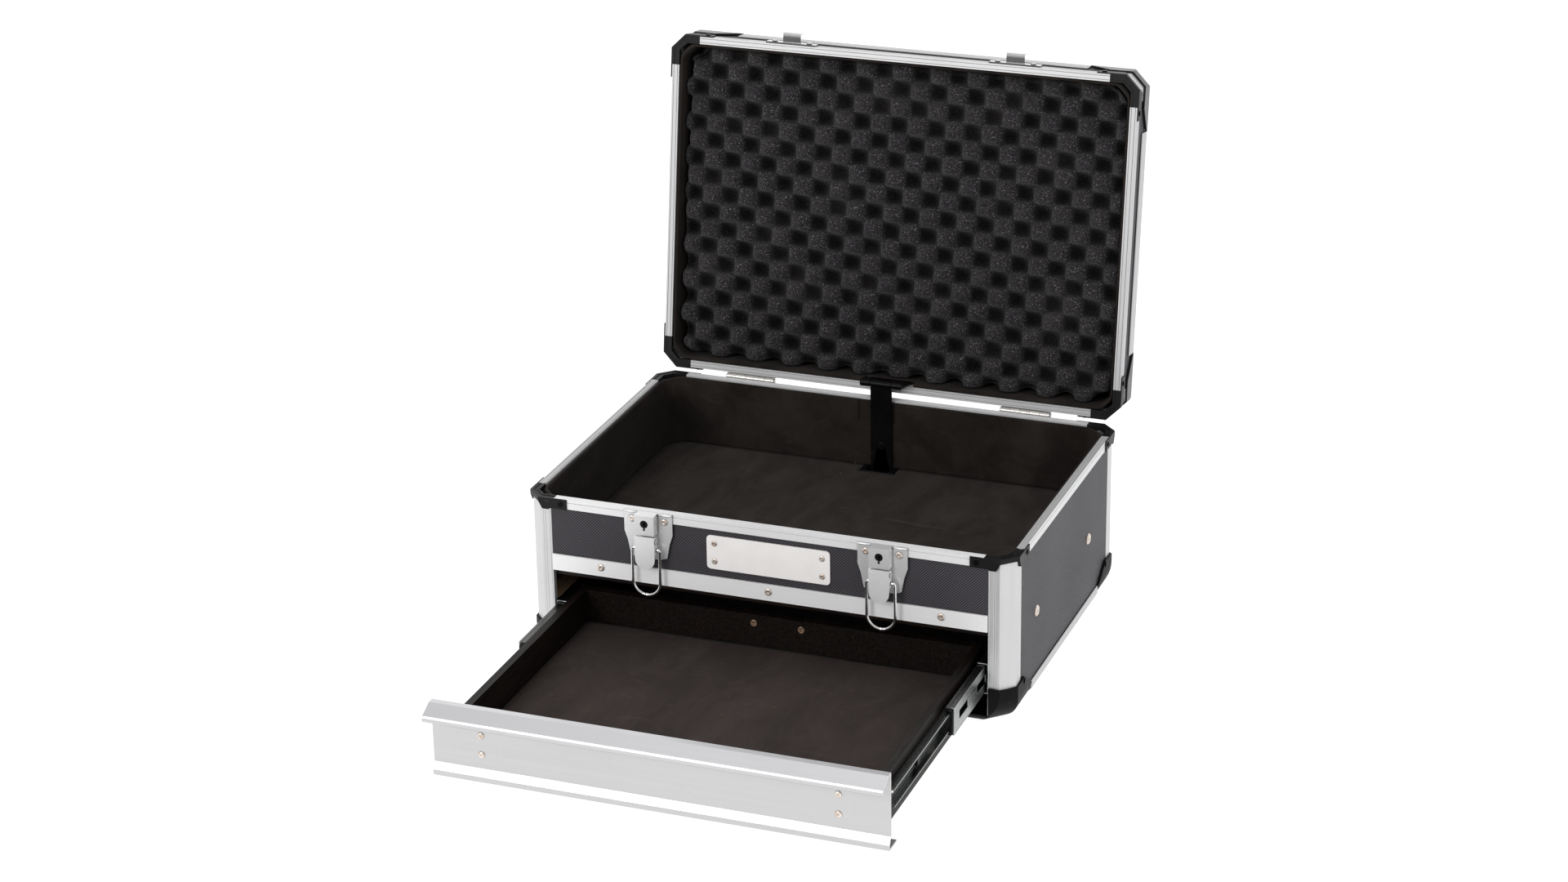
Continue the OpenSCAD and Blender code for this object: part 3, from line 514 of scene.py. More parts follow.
def black_plastic(name, lid=False, base=(0.0072, 0.0070, 0.0073), rough=0.34, spec=0.17):
    """Moulded black plastic: fine grain, rubbed dull patches and small scuffs."""
    mat = Shader(name, lid)
    grain = mat.noise(scale=1500, rough=0.6)
    patch = mat.noise(scale=30, detail=4, rough=0.6)
    flow = mat.noise(scale=120, at=mat.drawn("z", by=0.25))
    scuff = mat.noise(scale=260, rough=0.6, at=mat.drawn("x", by=0.3))
    color = mat.tint(base, shade(base, 1.6), by=patch, span=(0.45, 0.75))
    color = mat.tint(color, (0.10, 0.10, 0.10), by=scuff, span=(0.66, 0.76), amount=(0, 0.25))
    roughness = mat.add(mat.remap(grain, span=(0.3, 0.7), to=(rough - 0.04, rough + 0.08)),
                        mat.remap(patch, span=(0.4, 0.8), to=(0, 0.14)))
    height = mat.relief((grain, 0.5), (flow, 0.8))
    mat.set(color=color, rough=roughness, spec=spec,
            normal=mat.bump(height, strength=0.14, dist=0.0002))


# The default colours are the liners', darkened as painted shade on the standing walls.
def closed_foam(name, lid=False, base=(0.0105, 0.0080, 0.0066),
                light=(0.0255, 0.0200, 0.0170)):
    """Thin closed-cell foam sheet: very dark brown, brushed scuffs, crumbs and dust."""
    mat = Shader(name, lid)
    pores = mat.voronoi(scale=1900)
    grain = mat.noise(scale=900, rough=0.65)
    rub = mat.noise(scale=26, detail=6, rough=0.62, distortion=0.6, at=mat.drawn("y", by=0.45))
    brush = mat.noise(scale=70, detail=5, rough=0.6, distortion=1.2, at=mat.drawn("x", by=0.35))
    crumbs = mat.remap(mat.voronoi(scale=85), span=(0.030, 0.055), to=(1, 0))
    patches = mat.remap(mat.noise(scale=14), span=(0.52, 0.66))
    color = mat.tint(base, light, by=rub, span=(0.38, 0.72), amount=(0, 0.9))
    color = mat.tint(color, shade(light, 1.5), by=brush, span=(0.60, 0.78), amount=(0, 0.5))
    color = mat.tint(color, shade(light, 1.7), by=grain, span=(0.60, 0.85), amount=(0, 0.35))
    color = mat.mix(mat.math("MULTIPLY", crumbs, patches), color, (0.26, 0.18, 0.11))
    height = mat.relief((pores, 0.5), (grain, 0.6), (rub, 0.5))
    mat.set(color=color, rough=mat.remap(rub, span=(0.35, 0.75), to=(0.88, 0.72)), spec=0.12,
            sheen=0.02, sheen_rough=0.6, normal=mat.bump(height, strength=0.30, dist=0.0003))


def open_foam(name):
    """Charcoal open-cell foam of the lid: pores, peaks lighter and hollows dark, partly the
    foam's own tone and partly painted shade, and painted glints, most on the peaks.
    """
    mat = Shader(name, lid=True)
    depth = mat.math("SUBTRACT", mat.split()[Z_AXIS], PARTING_Z * MM)
    peak = mat.remap(depth, span=(0.0122, 0.0196), to=(1, 0), smooth=True)
    cells = mat.voronoi(scale=1150)
    large_cells = mat.voronoi(scale=620)
    fuzz = mat.noise(scale=1300, detail=4, rough=0.7)
    patch = mat.noise(scale=24)
    crumb = mat.noise(scale=470, rough=0.85)
    # light peaks, dark hollows: partly the foam's tone, partly painted shade in the hollows
    color = mat.mix(peak, (0.0028, 0.0026, 0.0028), (0.0350, 0.0320, 0.0345))
    color = mat.tint(color, (0.004, 0.004, 0.0045), by=crumb, span=(0.40, 0.58),
                     amount=(0.74, 0.0))
    color = mat.tint(color, (0.005, 0.005, 0.006), by=cells, span=(0.10, 0.42),
                     amount=(0.55, 0.0))
    color = mat.tint(color, (0.060, 0.052, 0.046), by=patch, span=(0.5, 0.8), amount=(0, 0.22))
    # glints: noise scale, span, amount in the hollows, colour
    for scale, span, least, glint in (
            (700, (0.62, 0.70), 0.10, (0.15, 0.145, 0.15)),
            (2100, (0.69, 0.74), 0.15, (0.30, 0.30, 0.31))):
        spots = mat.remap(mat.noise(scale=scale, detail=1), span=span, to=(0, 0.9))
        on_peaks = mat.remap(peak, span=(0.2, 0.9), to=(least, 1))
        color = mat.mix(mat.math("MULTIPLY", spots, on_peaks), color, glint)
    height = mat.relief((cells, 0.9), (large_cells, 0.8), (fuzz, 0.7))
    mat.set(color=color, rough=0.93, spec=0.06, sheen=0.10, sheen_rough=0.45,
            normal=mat.bump(height, strength=0.80, dist=0.0007))


def rubber(name):
    mat = Shader(name)
    grain = mat.noise(scale=800, rough=0.6)
    patch = mat.noise(scale=60, rough=0.6)
    color = mat.tint((0.012, 0.012, 0.012), (0.04, 0.038, 0.036), by=patch, span=(0.4, 0.75))
    mat.set(color=color, rough=mat.remap(grain, span=(0.3, 0.8), to=(0.75, 0.92)),
            normal=mat.bump(grain, strength=0.3, dist=0.0003))


# ---------------------------------------------------------------- metals and paint
def chrome(name, base, lid=False, rough=0.30, wave=0.02, metal=0.55, front=None):
    """Bright plated sheet: fine ripples, faint haze, a few pits.

    front is how much painted dark reflection the faces towards -y get.
    """
    mat = Shader(name, lid)
    haze = mat.noise(scale=90, detail=4, rough=0.6)
    fine = mat.noise(scale=700, rough=0.6)
    ripple = mat.noise(scale=130, detail=2, rough=0.4)
    pit = mat.voronoi(scale=300)
    color = mat.tint(base, shade(base, 0.95), by=haze, span=(0.45, 0.75))
    color = mat.tint(color, (0.35, 0.34, 0.33), by=pit, span=(0.02, 0.05), amount=(0.25, 0))
    roughness = mat.add(mat.remap(haze, span=(0.35, 0.8), to=(rough - 0.02, rough + 0.05)),
                        mat.remap(fine, span=(0.4, 0.8), to=(0, 0.04)))
    height = mat.relief((ripple, 1.0), (fine, 0.10))
    # painted dark reflection: faces towards -y drawn dark, less on the front-most part
    if front is not None:
        inner = mat.remap(mat.split()[Y_AXIS], span=(-0.1585, -0.1560), to=(0.15, 1.0))
        forward = mat.remap(mat.facing(Y_AXIS), span=(-0.75, -0.25), to=(front, 0))
        color = mat.mix(mat.math("MULTIPLY", inner, forward), color, (0.05, 0.05, 0.052))
    # painted shade in grooves and joints
    color = mat.painted_crevice_shade(color, dark=(0.035, 0.034, 0.036), reach=0.0019, span=(0.46, 0.84))
    mat.set(color=color, rough=roughness, metal=metal, spec=0.6,
            normal=mat.bump(height, strength=wave, dist=0.0006))


def zinc(name, along, lid=False, base=(0.52, 0.50, 0.47), rough=0.24, painted_dark_reflection=0.0):
    """Rolled, passivated steel: long draw marks, and a painted dark reflection in streaks on
    upward faces.
    """
    mat = Shader(name, lid)
    grain = mat.drawn(along, by=0.02)
    streak = mat.noise(scale=700, detail=4, rough=0.6, at=grain)
    band = mat.noise(scale=220, detail=2, at=grain)
    cloud = mat.noise(scale=40, detail=4, rough=0.6)
    spangle = mat.voronoi(scale=260)
    color = mat.tint(shade(base, 0.72), shade(base, 1.22), by=band, span=(0.3, 0.7))
    color = mat.tint(color, (0.30, 0.34, 0.33), by=cloud, span=(0.45, 0.75), amount=(0, 0.35))
    color = mat.tint(color, (0.16, 0.16, 0.155), by=streak, span=(0.62, 0.75),
                     amount=(0, 0.35))
    roughness = mat.add(mat.remap(streak, span=(0.3, 0.7), to=(rough - 0.06, rough + 0.10)),
                        mat.remap(spangle, span=(0.1, 0.5), to=(0, 0.06)))
    # painted dark reflection: upward faces drawn dark in streaks
    if painted_dark_reflection:
        upward = mat.remap(mat.facing(Z_AXIS), span=(0.55, 0.85), to=(0, painted_dark_reflection))
        reflection_streaks = mat.remap(mat.noise(scale=300, detail=2, at=grain), span=(0.30, 0.55),
                           to=(0.55, 1))
        color = mat.mix(mat.math("MULTIPLY", upward, reflection_streaks), color, (0.030, 0.027, 0.024))
    # painted shade in grooves and joints
    color = mat.painted_crevice_shade(color, dark=(0.015, 0.015, 0.015), reach=0.0030, span=(0.40, 0.90))
    mat.set(color=color, rough=roughness, metal=0.96,
            normal=mat.bump(streak, strength=0.14, dist=0.0003))


def nickel(name, bright, dull):
    mat = Shader(name)
    grain = mat.noise(scale=500, rough=0.6)
    patch = mat.noise(scale=160, rough=0.6)
    color = mat.tint(bright, dull, by=patch, span=(0.35, 0.7))
    # painted shade, brownish, in grooves and joints round the heads
    color = mat.painted_crevice_shade(color, dark=(0.16, 0.11, 0.08), reach=0.0014, span=(0.40, 0.85))
    mat.set(color=color, rough=mat.remap(grain, span=(0.3, 0.75), to=(0.22, 0.45)), metal=0.70,
            normal=mat.bump(grain, strength=0.25, dist=0.0002))


def black_steel(name, lid=False, rough=0.30):
    """Black coated steel with an uneven skin and small bright chips."""
    mat = Shader(name, lid)
    skin = mat.noise(scale=650)
    patch = mat.noise(scale=60, detail=4, rough=0.6)
    chips = mat.remap(mat.voronoi(scale=210), span=(0.03, 0.06), to=(1, 0))
    chipped = mat.remap(mat.noise(scale=48, detail=2), span=(0.60, 0.66))
    color = mat.tint((0.0034, 0.0032, 0.0034), (0.0052, 0.0048, 0.0048), by=patch,
                     span=(0.4, 0.75))
    color = mat.mix(mat.math("MULTIPLY", chips, chipped), color, (0.30, 0.29, 0.28))
    roughness = mat.remap(patch, span=(0.35, 0.8), to=(rough - 0.04, rough + 0.08))
    mat.set(color=color, rough=roughness, spec=0.09,
            normal=mat.bump(skin, strength=0.12, dist=0.0003))


def plate_paint(name):
    """Painted metal plate: off-white, faint mottle, slightly worn."""
    mat = Shader(name)
    mottle = mat.noise(scale=60, detail=4, rough=0.6)
    speck = mat.noise(scale=900, detail=2)
    streak = mat.noise(scale=900, detail=2, at=mat.drawn("x", by=0.05))
    color = mat.tint((0.93, 0.905, 0.89), (0.87, 0.845, 0.83), by=mottle, span=(0.4, 0.8))
    color = mat.tint(color, (0.45, 0.43, 0.41), by=speck, span=(0.72, 0.80), amount=(0, 0.35))
    # painted shade in grooves and joints
    color = mat.painted_crevice_shade(color, dark=(0.30, 0.28, 0.27), reach=0.0016, span=(0.40, 0.85))
    mat.set(color=color, rough=mat.remap(mottle, span=(0.3, 0.8), to=(0.30, 0.46)), metal=0.0,
            normal=mat.bump(mat.add(speck, streak), strength=0.08, dist=0.0002))


# ---------------------------------------------------------------- wood
def dark_wood(name, along):
    """Board with a dark wood-grain surface: pores, streaks and brown specks."""
    mat = Shader(name)
    base = (0.0034, 0.0025, 0.0022)
    drawn = mat.drawn(along, by=0.06)
    grain = mat.noise(scale=420, detail=5, rough=0.62, distortion=0.4, at=drawn)
    figure = mat.noise(scale=90, detail=4, rough=0.6, distortion=0.8, at=drawn)
    speck = mat.noise(scale=700, rough=0.6)
    color = mat.tint(base, (0.0200, 0.0115, 0.0078), by=grain, span=(0.42, 0.72))
    color = mat.tint(color, shade(base, 0.7), by=figure, span=(0.35, 0.75), amount=(0.0, 0.6))
    color = mat.tint(color, (0.22, 0.13, 0.07), by=speck, span=(0.74, 0.82), amount=(0, 0.5))
    height = mat.relief((grain, 1.0), (speck, 0.3))
    mat.set(color=color, rough=mat.remap(figure, span=(0.3, 0.8), to=(0.40, 0.60)), spec=0.18,
            normal=mat.bump(height, strength=0.30, dist=0.0004))


def raw_wood(name):
    """Bare wood with its grain along y."""
    mat = Shader(name)
    drawn = mat.drawn("y", by=0.05)
    grain = mat.noise(scale=260, detail=5, rough=0.6, distortion=0.5, at=drawn)
    figure = mat.noise(scale=60, detail=4, rough=0.6, distortion=1.2, at=drawn)
    color = mat.tint((0.30, 0.19, 0.10), (0.46, 0.33, 0.20), by=grain, span=(0.35, 0.7))
    color = mat.tint(color, (0.20, 0.12, 0.06), by=figure, span=(0.45, 0.8), amount=(0, 0.5))
    mat.set(color=color, rough=mat.remap(grain, span=(0.3, 0.7), to=(0.62, 0.80)),
            normal=mat.bump(grain, strength=0.35, dist=0.0005))


# ---------------------------------------------------------------- the materials
def make_materials():
    aluminium("alu_post", "z", base=0.62)
    # side paints shade on the rim's side strips, here and in alu_rim_lid
    aluminium("alu_rim", "rim", base=0.84, metal=0.25, rough=0.38, side=0.60)
    aluminium("alu_edging", "rim", base=0.52, metal=0.45, rough=0.40)
    aluminium("alu_bar", "x", base=0.88, metal=0.15)
    # lip is a painted highlight on the drawer front's upward slopes
    aluminium("alu_drawer", "x", base=0.565, rough=0.33, fine=0.35, metal=0.80, cloudy=0.04,
              tint=(1.0, 0.994, 1.006), lip=0.07)
    aluminium("alu_rim_lid", "rim", lid=True, base=0.58, metal=0.45, rough=0.38, side=0.86)
    aluminium("alu_edging_lid", "rim", lid=True, base=0.50, metal=0.50, rough=0.38)
    aluminium("alu_post_lid", "z", lid=True, base=0.62)
    laminate("panel_film", "side")
    laminate("panel_film_lid", "side", lid=True)
    laminate("panel_film_top", "top", lid=True)
    laminate("panel_film_under", "top")
    black_plastic("moulded_black")
    black_plastic("moulded_black_lid", lid=True)
    black_plastic("moulded_black_foot", base=(0.0055, 0.0053, 0.0056), rough=0.42, spec=0.07)
    # One foam in lit and shaded copies: the liners darker as painted shade, the mats lighter as
    # painted light, the drawer's mat the most.
    closed_foam("liner_sheet")
    closed_foam("liner_sheet_lid", lid=True)
    closed_foam("mat_sheet", base=(0.0190, 0.0150, 0.0130), light=(0.0420, 0.0340, 0.0305))
    closed_foam("mat_sheet_drawer", base=(0.0320, 0.0235, 0.0210),
                light=(0.0500, 0.0380, 0.0345))
    open_foam("egg_crate_foam")
    chrome("bright_plate", base=(0.80, 0.80, 0.805))
    chrome("satin_lever", base=(0.95, 0.95, 0.95), rough=0.38)
    # front paints a dark reflection on the faces towards -y of the lid strikes and handle
    # brackets
    chrome("bright_plate_lid", lid=True, base=(0.66, 0.66, 0.665), rough=0.14, metal=0.95,
           front=0.85)
    black_plastic("moulded_black_protector", lid=True, rough=0.20, spec=0.42)
    chrome("bright_wire", base=(0.80, 0.80, 0.80), rough=0.13, wave=0.05, metal=1.0)
    black_plastic("lock_plug_black", base=(0.006, 0.006, 0.006), rough=0.30)
    # slide_steel gets a painted dark reflection on its upward faces
    zinc("slide_steel", "y", base=(0.30, 0.315, 0.31), rough=0.22, painted_dark_reflection=0.85)
    zinc("hinge_steel", "x")
    zinc("hinge_steel_lid", "x", lid=True)
    nickel("nickel_rivet", bright=(0.84, 0.79, 0.74), dull=(0.58, 0.45, 0.36))
    nickel("yellowed_screw", bright=(0.50, 0.34, 0.24), dull=(0.30, 0.18, 0.11))
    black_steel("black_steel")
    black_steel("black_steel_lid", lid=True)
    black_steel("black_screw", rough=0.24)
    black_steel("black_screw_lid", lid=True, rough=0.24)
    dark_wood("drawer_board", "y")
    dark_wood("floor_board", "x")
    raw_wood("batten_wood")
    plate_paint("blank_plate")
    rubber("buffer_rubber")


# material: {CAD piece: edge rounding in mm}
CAD_PIECES = {
    "panel_film_under": {"bottom_panel": 0.3},
    "panel_film": {"side_panels": 0.3, "back_panel": 0.3, "front_panel": 0.3},
    "floor_board": {"compartment_floor": 0.3, "drawer_bottom": 0.3},
    "drawer_board": {"drawer_box_walls": 0.7},
    "batten_wood": {"slide_battens": 0.5},
    "alu_post": {"corner_posts": 0.7},
    "alu_rim": {"base_rim": 0.25},
    "alu_edging": {"bottom_edging": 0.9},
    "alu_bar": {"front_rail": 0.5, "front_sill": 0.4},
    "alu_drawer": {"drawer_front": 0.5},
    "moulded_black": {"base_rim_corners": 0.45, "magnet_catch": 0.6},
    "moulded_black_foot": {"foot_corners": 1.1},
    "buffer_rubber": {"drawer_buffers": 0.8},
    "black_screw": {"base_corner_screws": 0.15},
    "nickel_rivet": {"case_rivets": 0.25, "name_plate_rivets": 0.2,
                     "latch_plate_screws": 0.25, "drawer_front_rivets": 0.25},
    "yellowed_screw": {"drawer_back_screws": 0.2},
    "blank_plate": {"name_plate": 0.35},
    "bright_plate": {"latch_plates": 0.4, "latch_pivot_pins": 0.2},
    "satin_lever": {"latch_lever_left": 0.3, "latch_lever_right": 0.3},
    "lock_plug_black": {"lock_plug_left": 0.15, "lock_plug_right": 0.15},
    "hinge_steel": {"hinge_base_leaves": 0.25, "hinge_pins": 0.2, "drawer_catch_plate": 0.3},
    "hinge_steel_lid": {"hinge_lid_leaves": 0.25},
    "slide_steel": {"slide_outer_members": 0.4, "slide_middle_left": 0.35,
                    "slide_middle_right": 0.35, "slide_inner_members": 0.35},
    "black_steel": {"stay_slot_plate": 0.4, "stay_strap": 0.3},
    "black_steel_lid": {"stay_bracket": 0.4},
    "panel_film_top": {"lid_top_panel": 0.3},
    "panel_film_lid": {"lid_side_panels": 0.3},
    "alu_rim_lid": {"lid_rim": 0.25},
    "alu_edging_lid": {"lid_edging": 0.9},
    "alu_post_lid": {"lid_corner_posts": 0.7},
    "moulded_black_lid": {"lid_rim_corners": 0.45},
    "moulded_black_protector": {"lid_corner_protectors": 1.0},
    "black_screw_lid": {"lid_corner_screws": 0.15},
    "bright_plate_lid": {"lid_strikes": 0.3, "handle_brackets": 0.3},
}


def dress_cad_pieces():
    shading = edge_shading()
    for material, pieces in CAD_PIECES.items():
        for name, rounding in pieces.items():
            piece = NODES[name]
            piece.data.materials.clear()
            piece.data.materials.append(MATERIALS[material])
            soften(piece, rounding, shading)


# ---------------------------------------------------------------- egg-crate foam
FOAM_HALF_X, FOAM_HALF_Y = 202.4, 140.0
FOAM_CHAMFER = 14.0
CHAMFER_EASE = 6                      # half length of the curve into a chamfer
FOAM_COLUMNS, FOAM_ROWS = 214, 150
PEAK_Z, PIT_DEPTH = 6.9, 15.6
FOAM_BACK_Z = 43.9
FIRST_PIT = (-172.54, -118.95)
PIT_STEP, ROW_STEP = (33.99, 0.23), (-1.02, 31.69)     # pit to pit, across and along y
EDGE_BAND = 10.0                      # the border in which the sheet draws back
STAY_HALF_X, STAY_Y, STAY_Z = 26, 127, 15.5            # hollow round the stay's bracket


def foam_half_width(y):
    """Half width of the sheet at y: straight sides, eased into chamfered corners."""
    past = abs(y) - (FOAM_HALF_Y - FOAM_CHAMFER)
    if past <= -CHAMFER_EASE:
        return FOAM_HALF_X
    if past >= CHAMFER_EASE:
        return FOAM_HALF_X - past
    return FOAM_HALF_X - (past + CHAMFER_EASE) ** 2 / (4 * CHAMFER_EASE)


def crate(x, y):
    """1 at the bottom of a pit, -1 on a peak."""
    x_off = x + 0.9 * wobble(x, y, scale=0.03, seed=3.1) - FIRST_PIT[0]
    y_off = y + 0.9 * wobble(x, y, scale=0.03, seed=9.7) - FIRST_PIT[1]
    area = PIT_STEP[0] * ROW_STEP[1] - PIT_STEP[1] * ROW_STEP[0]
    steps = ((x_off * ROW_STEP[1] - y_off * ROW_STEP[0]) / area,
             (-x_off * PIT_STEP[1] + y_off * PIT_STEP[0]) / area)
    waves = [math.cos(2 * math.pi * step) for step in steps]
    first, second = (math.copysign(abs(wave) ** 0.62, wave) for wave in waves)
    return first * second


def foam_point(column, row):
    flat_y = -FOAM_HALF_Y + 2 * FOAM_HALF_Y * row / (FOAM_ROWS - 1)
    width = foam_half_width(flat_y)
    flat_x = width * (-1 + 2 * column / (FOAM_COLUMNS - 1))
    pit = 0.5 * (crate(flat_x, flat_y) + 1)
    z = PEAK_Z + PIT_DEPTH * pit ** 1.15
    z += 0.4 * wobble(flat_x, flat_y, scale=0.12, seed=0)
    z += 0.22 * wobble(flat_x, flat_y, scale=0.45, seed=4)
    # the cut edge is scalloped: hollows stand back from the lining
    inset = 0.7 + 3.6 * pit * pit + 0.5 * wobble(flat_x, flat_y, scale=0.15, seed=8)
    edge_x = max(0.0, 1 - (width - abs(flat_x)) / EDGE_BAND)
    edge_y = max(0.0, 1 - (FOAM_HALF_Y - abs(flat_y)) / EDGE_BAND)
    x = flat_x - math.copysign(inset * edge_x * edge_x * (3 - 2 * edge_x), flat_x)
    y = flat_y - math.copysign(inset * edge_y * edge_y * (3 - 2 * edge_y), flat_y)
    z += 1.2 * max(0.0, (max(edge_x, edge_y) - 0.55) / 0.45) ** 2
    if abs(x) < STAY_HALF_X and y > STAY_Y and z < STAY_Z:
        z = STAY_Z + 0.25 * (z - STAY_Z)
    return x, y, z


def add_foam():
    columns, rows = FOAM_COLUMNS, FOAM_ROWS
    points = [foam_point(column, row) for row in range(rows) for column in range(columns)]
    faces = grid_faces(rows, columns, wrap_columns=False)
    border = list(range(columns))
    border += [row * columns + columns - 1 for row in range(1, rows)]
    border += [(rows - 1) * columns + column for column in range(columns - 2, -1, -1)]
    border += [row * columns for row in range(rows - 2, 0, -1)]
    above = border
    for part in (0.08, 0.34, 0.67, 1.0):          # share of the way to the flat back
        ring = []
        for i in border:
            x, y, z = points[i]
            z += (FOAM_BACK_Z - z) * part
            waist = (1 - 0.0035 * math.sin(math.pi * part)
                     + 0.0012 * wobble(x, y, scale=0.2, seed=z * 0.3))
            ring.append(len(points))
            points.append((x * waist, y * waist, z))
        faces += band_faces(above, ring)
        above = ring
    faces.append(tuple(above))
    foam = make("egg_crate_foam", points, faces, at_lid)
    finish_piece(foam, "egg_crate_foam", "lid", "open_cell_foam", "lid_foam")


# ---------------------------------------------------------------- liners and mats
LIP = 0.9                             # height of a liner's rounded free edge
LINER_BAND = 4.0                      # height of a row of faces
MAT_RINGS = 25
MAT_EDGE_DROP = 0.7
DRAWER_OUT = -237.0                   # how far the drawer is pulled, along y


def join_arcs(arcs, spacing, whole):
    """A closed outline: arcs in turn, with evenly divided straights between them."""
    outline = []
    for i, arc in enumerate(arcs):
        (x0, y0), (x1, y1) = arc[-1], arcs[(i + 1) % len(arcs)][0]
        steps = whole(math.dist((x0, y0), (x1, y1)) / spacing)
        outline += arc
        outline += [(x0 + (x1 - x0) * step / steps, y0 + (y1 - y0) * step / steps)
                    for step in range(1, steps)]
    return outline


def rounded_rectangle(half_x, half_y, radius, spacing, arc_steps=4):
    arcs = []
    for sign_x, sign_y, start in ((1, 1, 0), (-1, 1, 90), (-1, -1, 180), (1, -1, 270)):
        angles = [math.radians(start + 90 * i / arc_steps) for i in range(arc_steps + 1)]
        arcs.append([(sign_x * (half_x - radius) + radius * math.cos(angle),
                      sign_y * (half_y - radius) + radius * math.sin(angle))
                     for angle in angles])
    return join_arcs(arcs, spacing, int)


def chamfered_rectangle(half_x, half_y, chamfer, radius, spacing, arc_steps=6):
    """A rectangle with chamfered corners, its eight bends rounded."""
    x, y = half_x - chamfer, half_y - chamfer
    corners = [Vector(corner) for corner in (
        (half_x, -y), (half_x, y), (x, half_y), (-x, half_y),
        (-half_x, y), (-half_x, -y), (-x, -half_y), (x, -half_y))]
    reach = radius * math.tan(math.radians(22.5))
    arcs = []
    for i, corner in enumerate(corners):
        start = corner + (corners[i - 1] - corner).normalized() * reach
        end = corner + (corners[(i + 1) % 8] - corner).normalized() * reach
        arc = []
        for step in range(arc_steps + 1):
            t = step / arc_steps
            point = start * (1 - t) ** 2 + corner * 2 * t * (1 - t) + end * t * t
            arc.append((point.x, point.y))
        arcs.append(arc)
    return join_arcs(arcs, spacing, round)


def liner(name, inner_half, outer_half, chamfer, radius, fixed_z, free_z, wave, place):
    """A standing sheet round the inside, its free edge rounded, its face a little uneven."""
    inner = chamfered_rectangle(*inner_half, chamfer, radius, spacing=3.4)
    outer = [(x * outer_half[0] / inner_half[0], y * outer_half[1] / inner_half[1])
             for x, y in inner]
    lip = math.copysign(LIP, free_z - fixed_z)
    steps = int(abs(free_z - fixed_z) / LINER_BAND)
    # rows: share of the thickness from the inner face, z
    rows = [(0.0, fixed_z + (free_z - lip - fixed_z) * i / steps) for i in range(steps + 1)]
    rows += [(0.12, free_z - lip * 0.35), (0.32, free_z), (0.68, free_z),
             (0.88, free_z - lip * 0.35), (1.0, free_z - lip), (1.0, fixed_z)]
    points = []
    for depth, z in rows:
        for (x0, y0), (x1, y1) in zip(inner, outer):
            share = depth
            if depth == 0.0:
                share += wave * wobble(x0, y0, scale=0.016, seed=z * 0.03)
                share += 0.25 * wave * wobble(x0, y0, scale=0.08, seed=z * 0.10)
            points.append((x0 + (x1 - x0) * share, y0 + (y1 - y0) * share, z))
    return make(name, points, grid_faces(len(rows), len(inner), wrap_rows=True), place)


def loose_mat(name, outline, bottom_z, top_z, wave, centre_y=0.0, curl=0.0):
    """A closed sheet with a soft edge and an uneven top; curl lifts its border."""
    def top(x, y, t):
        sag = (wave * wobble(x, y, scale=0.012, seed=top_z)
               + 0.3 * wave * wobble(x, y, scale=0.05, seed=1))
        lift = (curl * max(0.0, (t - 0.8) / 0.2) ** 2
                * (0.5 + 0.5 * wobble(x, y, scale=0.02, seed=5)))
        return top_z + min(sag, 0.0) + lift

    count = len(outline)
    points = [(0.0, centre_y, top(0, 0, 0))]
    rings = []
    for t in np.linspace(0.0, 1.0, MAT_RINGS + 1)[1:]:
        drop = MAT_EDGE_DROP if t == 1.0 else 0.0
        rings.append(range(len(points), len(points) + count))
        points += [(x * t, y * t + centre_y, top(x * t, y * t, t) - drop) for x, y in outline]
    rings.append(range(len(points), len(points) + count))
    points += [(x, y + centre_y, bottom_z) for x, y in outline]
    faces = [(0, rings[0][i], rings[0][(i + 1) % count]) for i in range(count)]
    for first, second in zip(rings, rings[1:]):
        faces += band_faces(first, second)
    faces.append(tuple(rings[-1]))
    return make(name, points, faces)


def add_liners_and_mats():
    """Liners and the compartment mat are notched at the back, in the middle."""
    sheet = liner("compartment_liner_sheet", inner_half=(203.0, 141.5),
                  outer_half=(205.7, 143.2), chamfer=13.0, radius=15.0,
                  fixed_z=-65.7, free_z=-1.6, wave=0.20, place=at_base)
    cut_box(sheet, (-22, 130, -22), (22, 142.75, 5), at_base)
    finish_piece(sheet, "liner_sheet", "base", "liner_foam", "compartment_liner")

    sheet = liner("lid_liner_sheet", inner_half=(203.2, 140.7),
                  outer_half=(205.6, 143.1), chamfer=10.0, radius=10.0,
                  fixed_z=41.8, free_z=1.5, wave=0.16, place=at_lid)
    cut_box(sheet, (-24, 130, -2), (24, 150, 14), at_lid)
    finish_piece(sheet, "liner_sheet_lid", "lid", "liner_foam", "lid_liner")

    outline = chamfered_rectangle(202.6, 140.6, chamfer=13.0, radius=15.0, spacing=5.0)
    sheet = loose_mat("compartment_mat_sheet", outline, bottom_z=-65.8, top_z=-63.0, wave=0.5)
    cut_box(sheet, (-16.5, 124, -70), (16.5, 150, -55), at_base)
    finish_piece(sheet, "mat_sheet", "base", "liner_foam", "compartment_mat")

    outline = rounded_rectangle(170.4, 124.2, radius=3, spacing=5.0)
    sheet = loose_mat("drawer_mat_sheet", outline, bottom_z=-122.9, top_z=-119.5, wave=0.6,
                      centre_y=-15.3 + DRAWER_OUT, curl=0.8)
    finish_piece(sheet, "mat_sheet_drawer", "drawer", "liner_foam", "drawer_mat")


# ---------------------------------------------------------------- latches
BAIL_Y, BAIL_TOP_Z = -156.6, -31.0
BOW_Z, BOW_RADIUS = -60.6, 12.2       # centre height and radius of the half round
ELBOW = 1.6
WIRE_RADIUS = 1.28
WELD_HALF = 1.9                       # half length of the weld bead

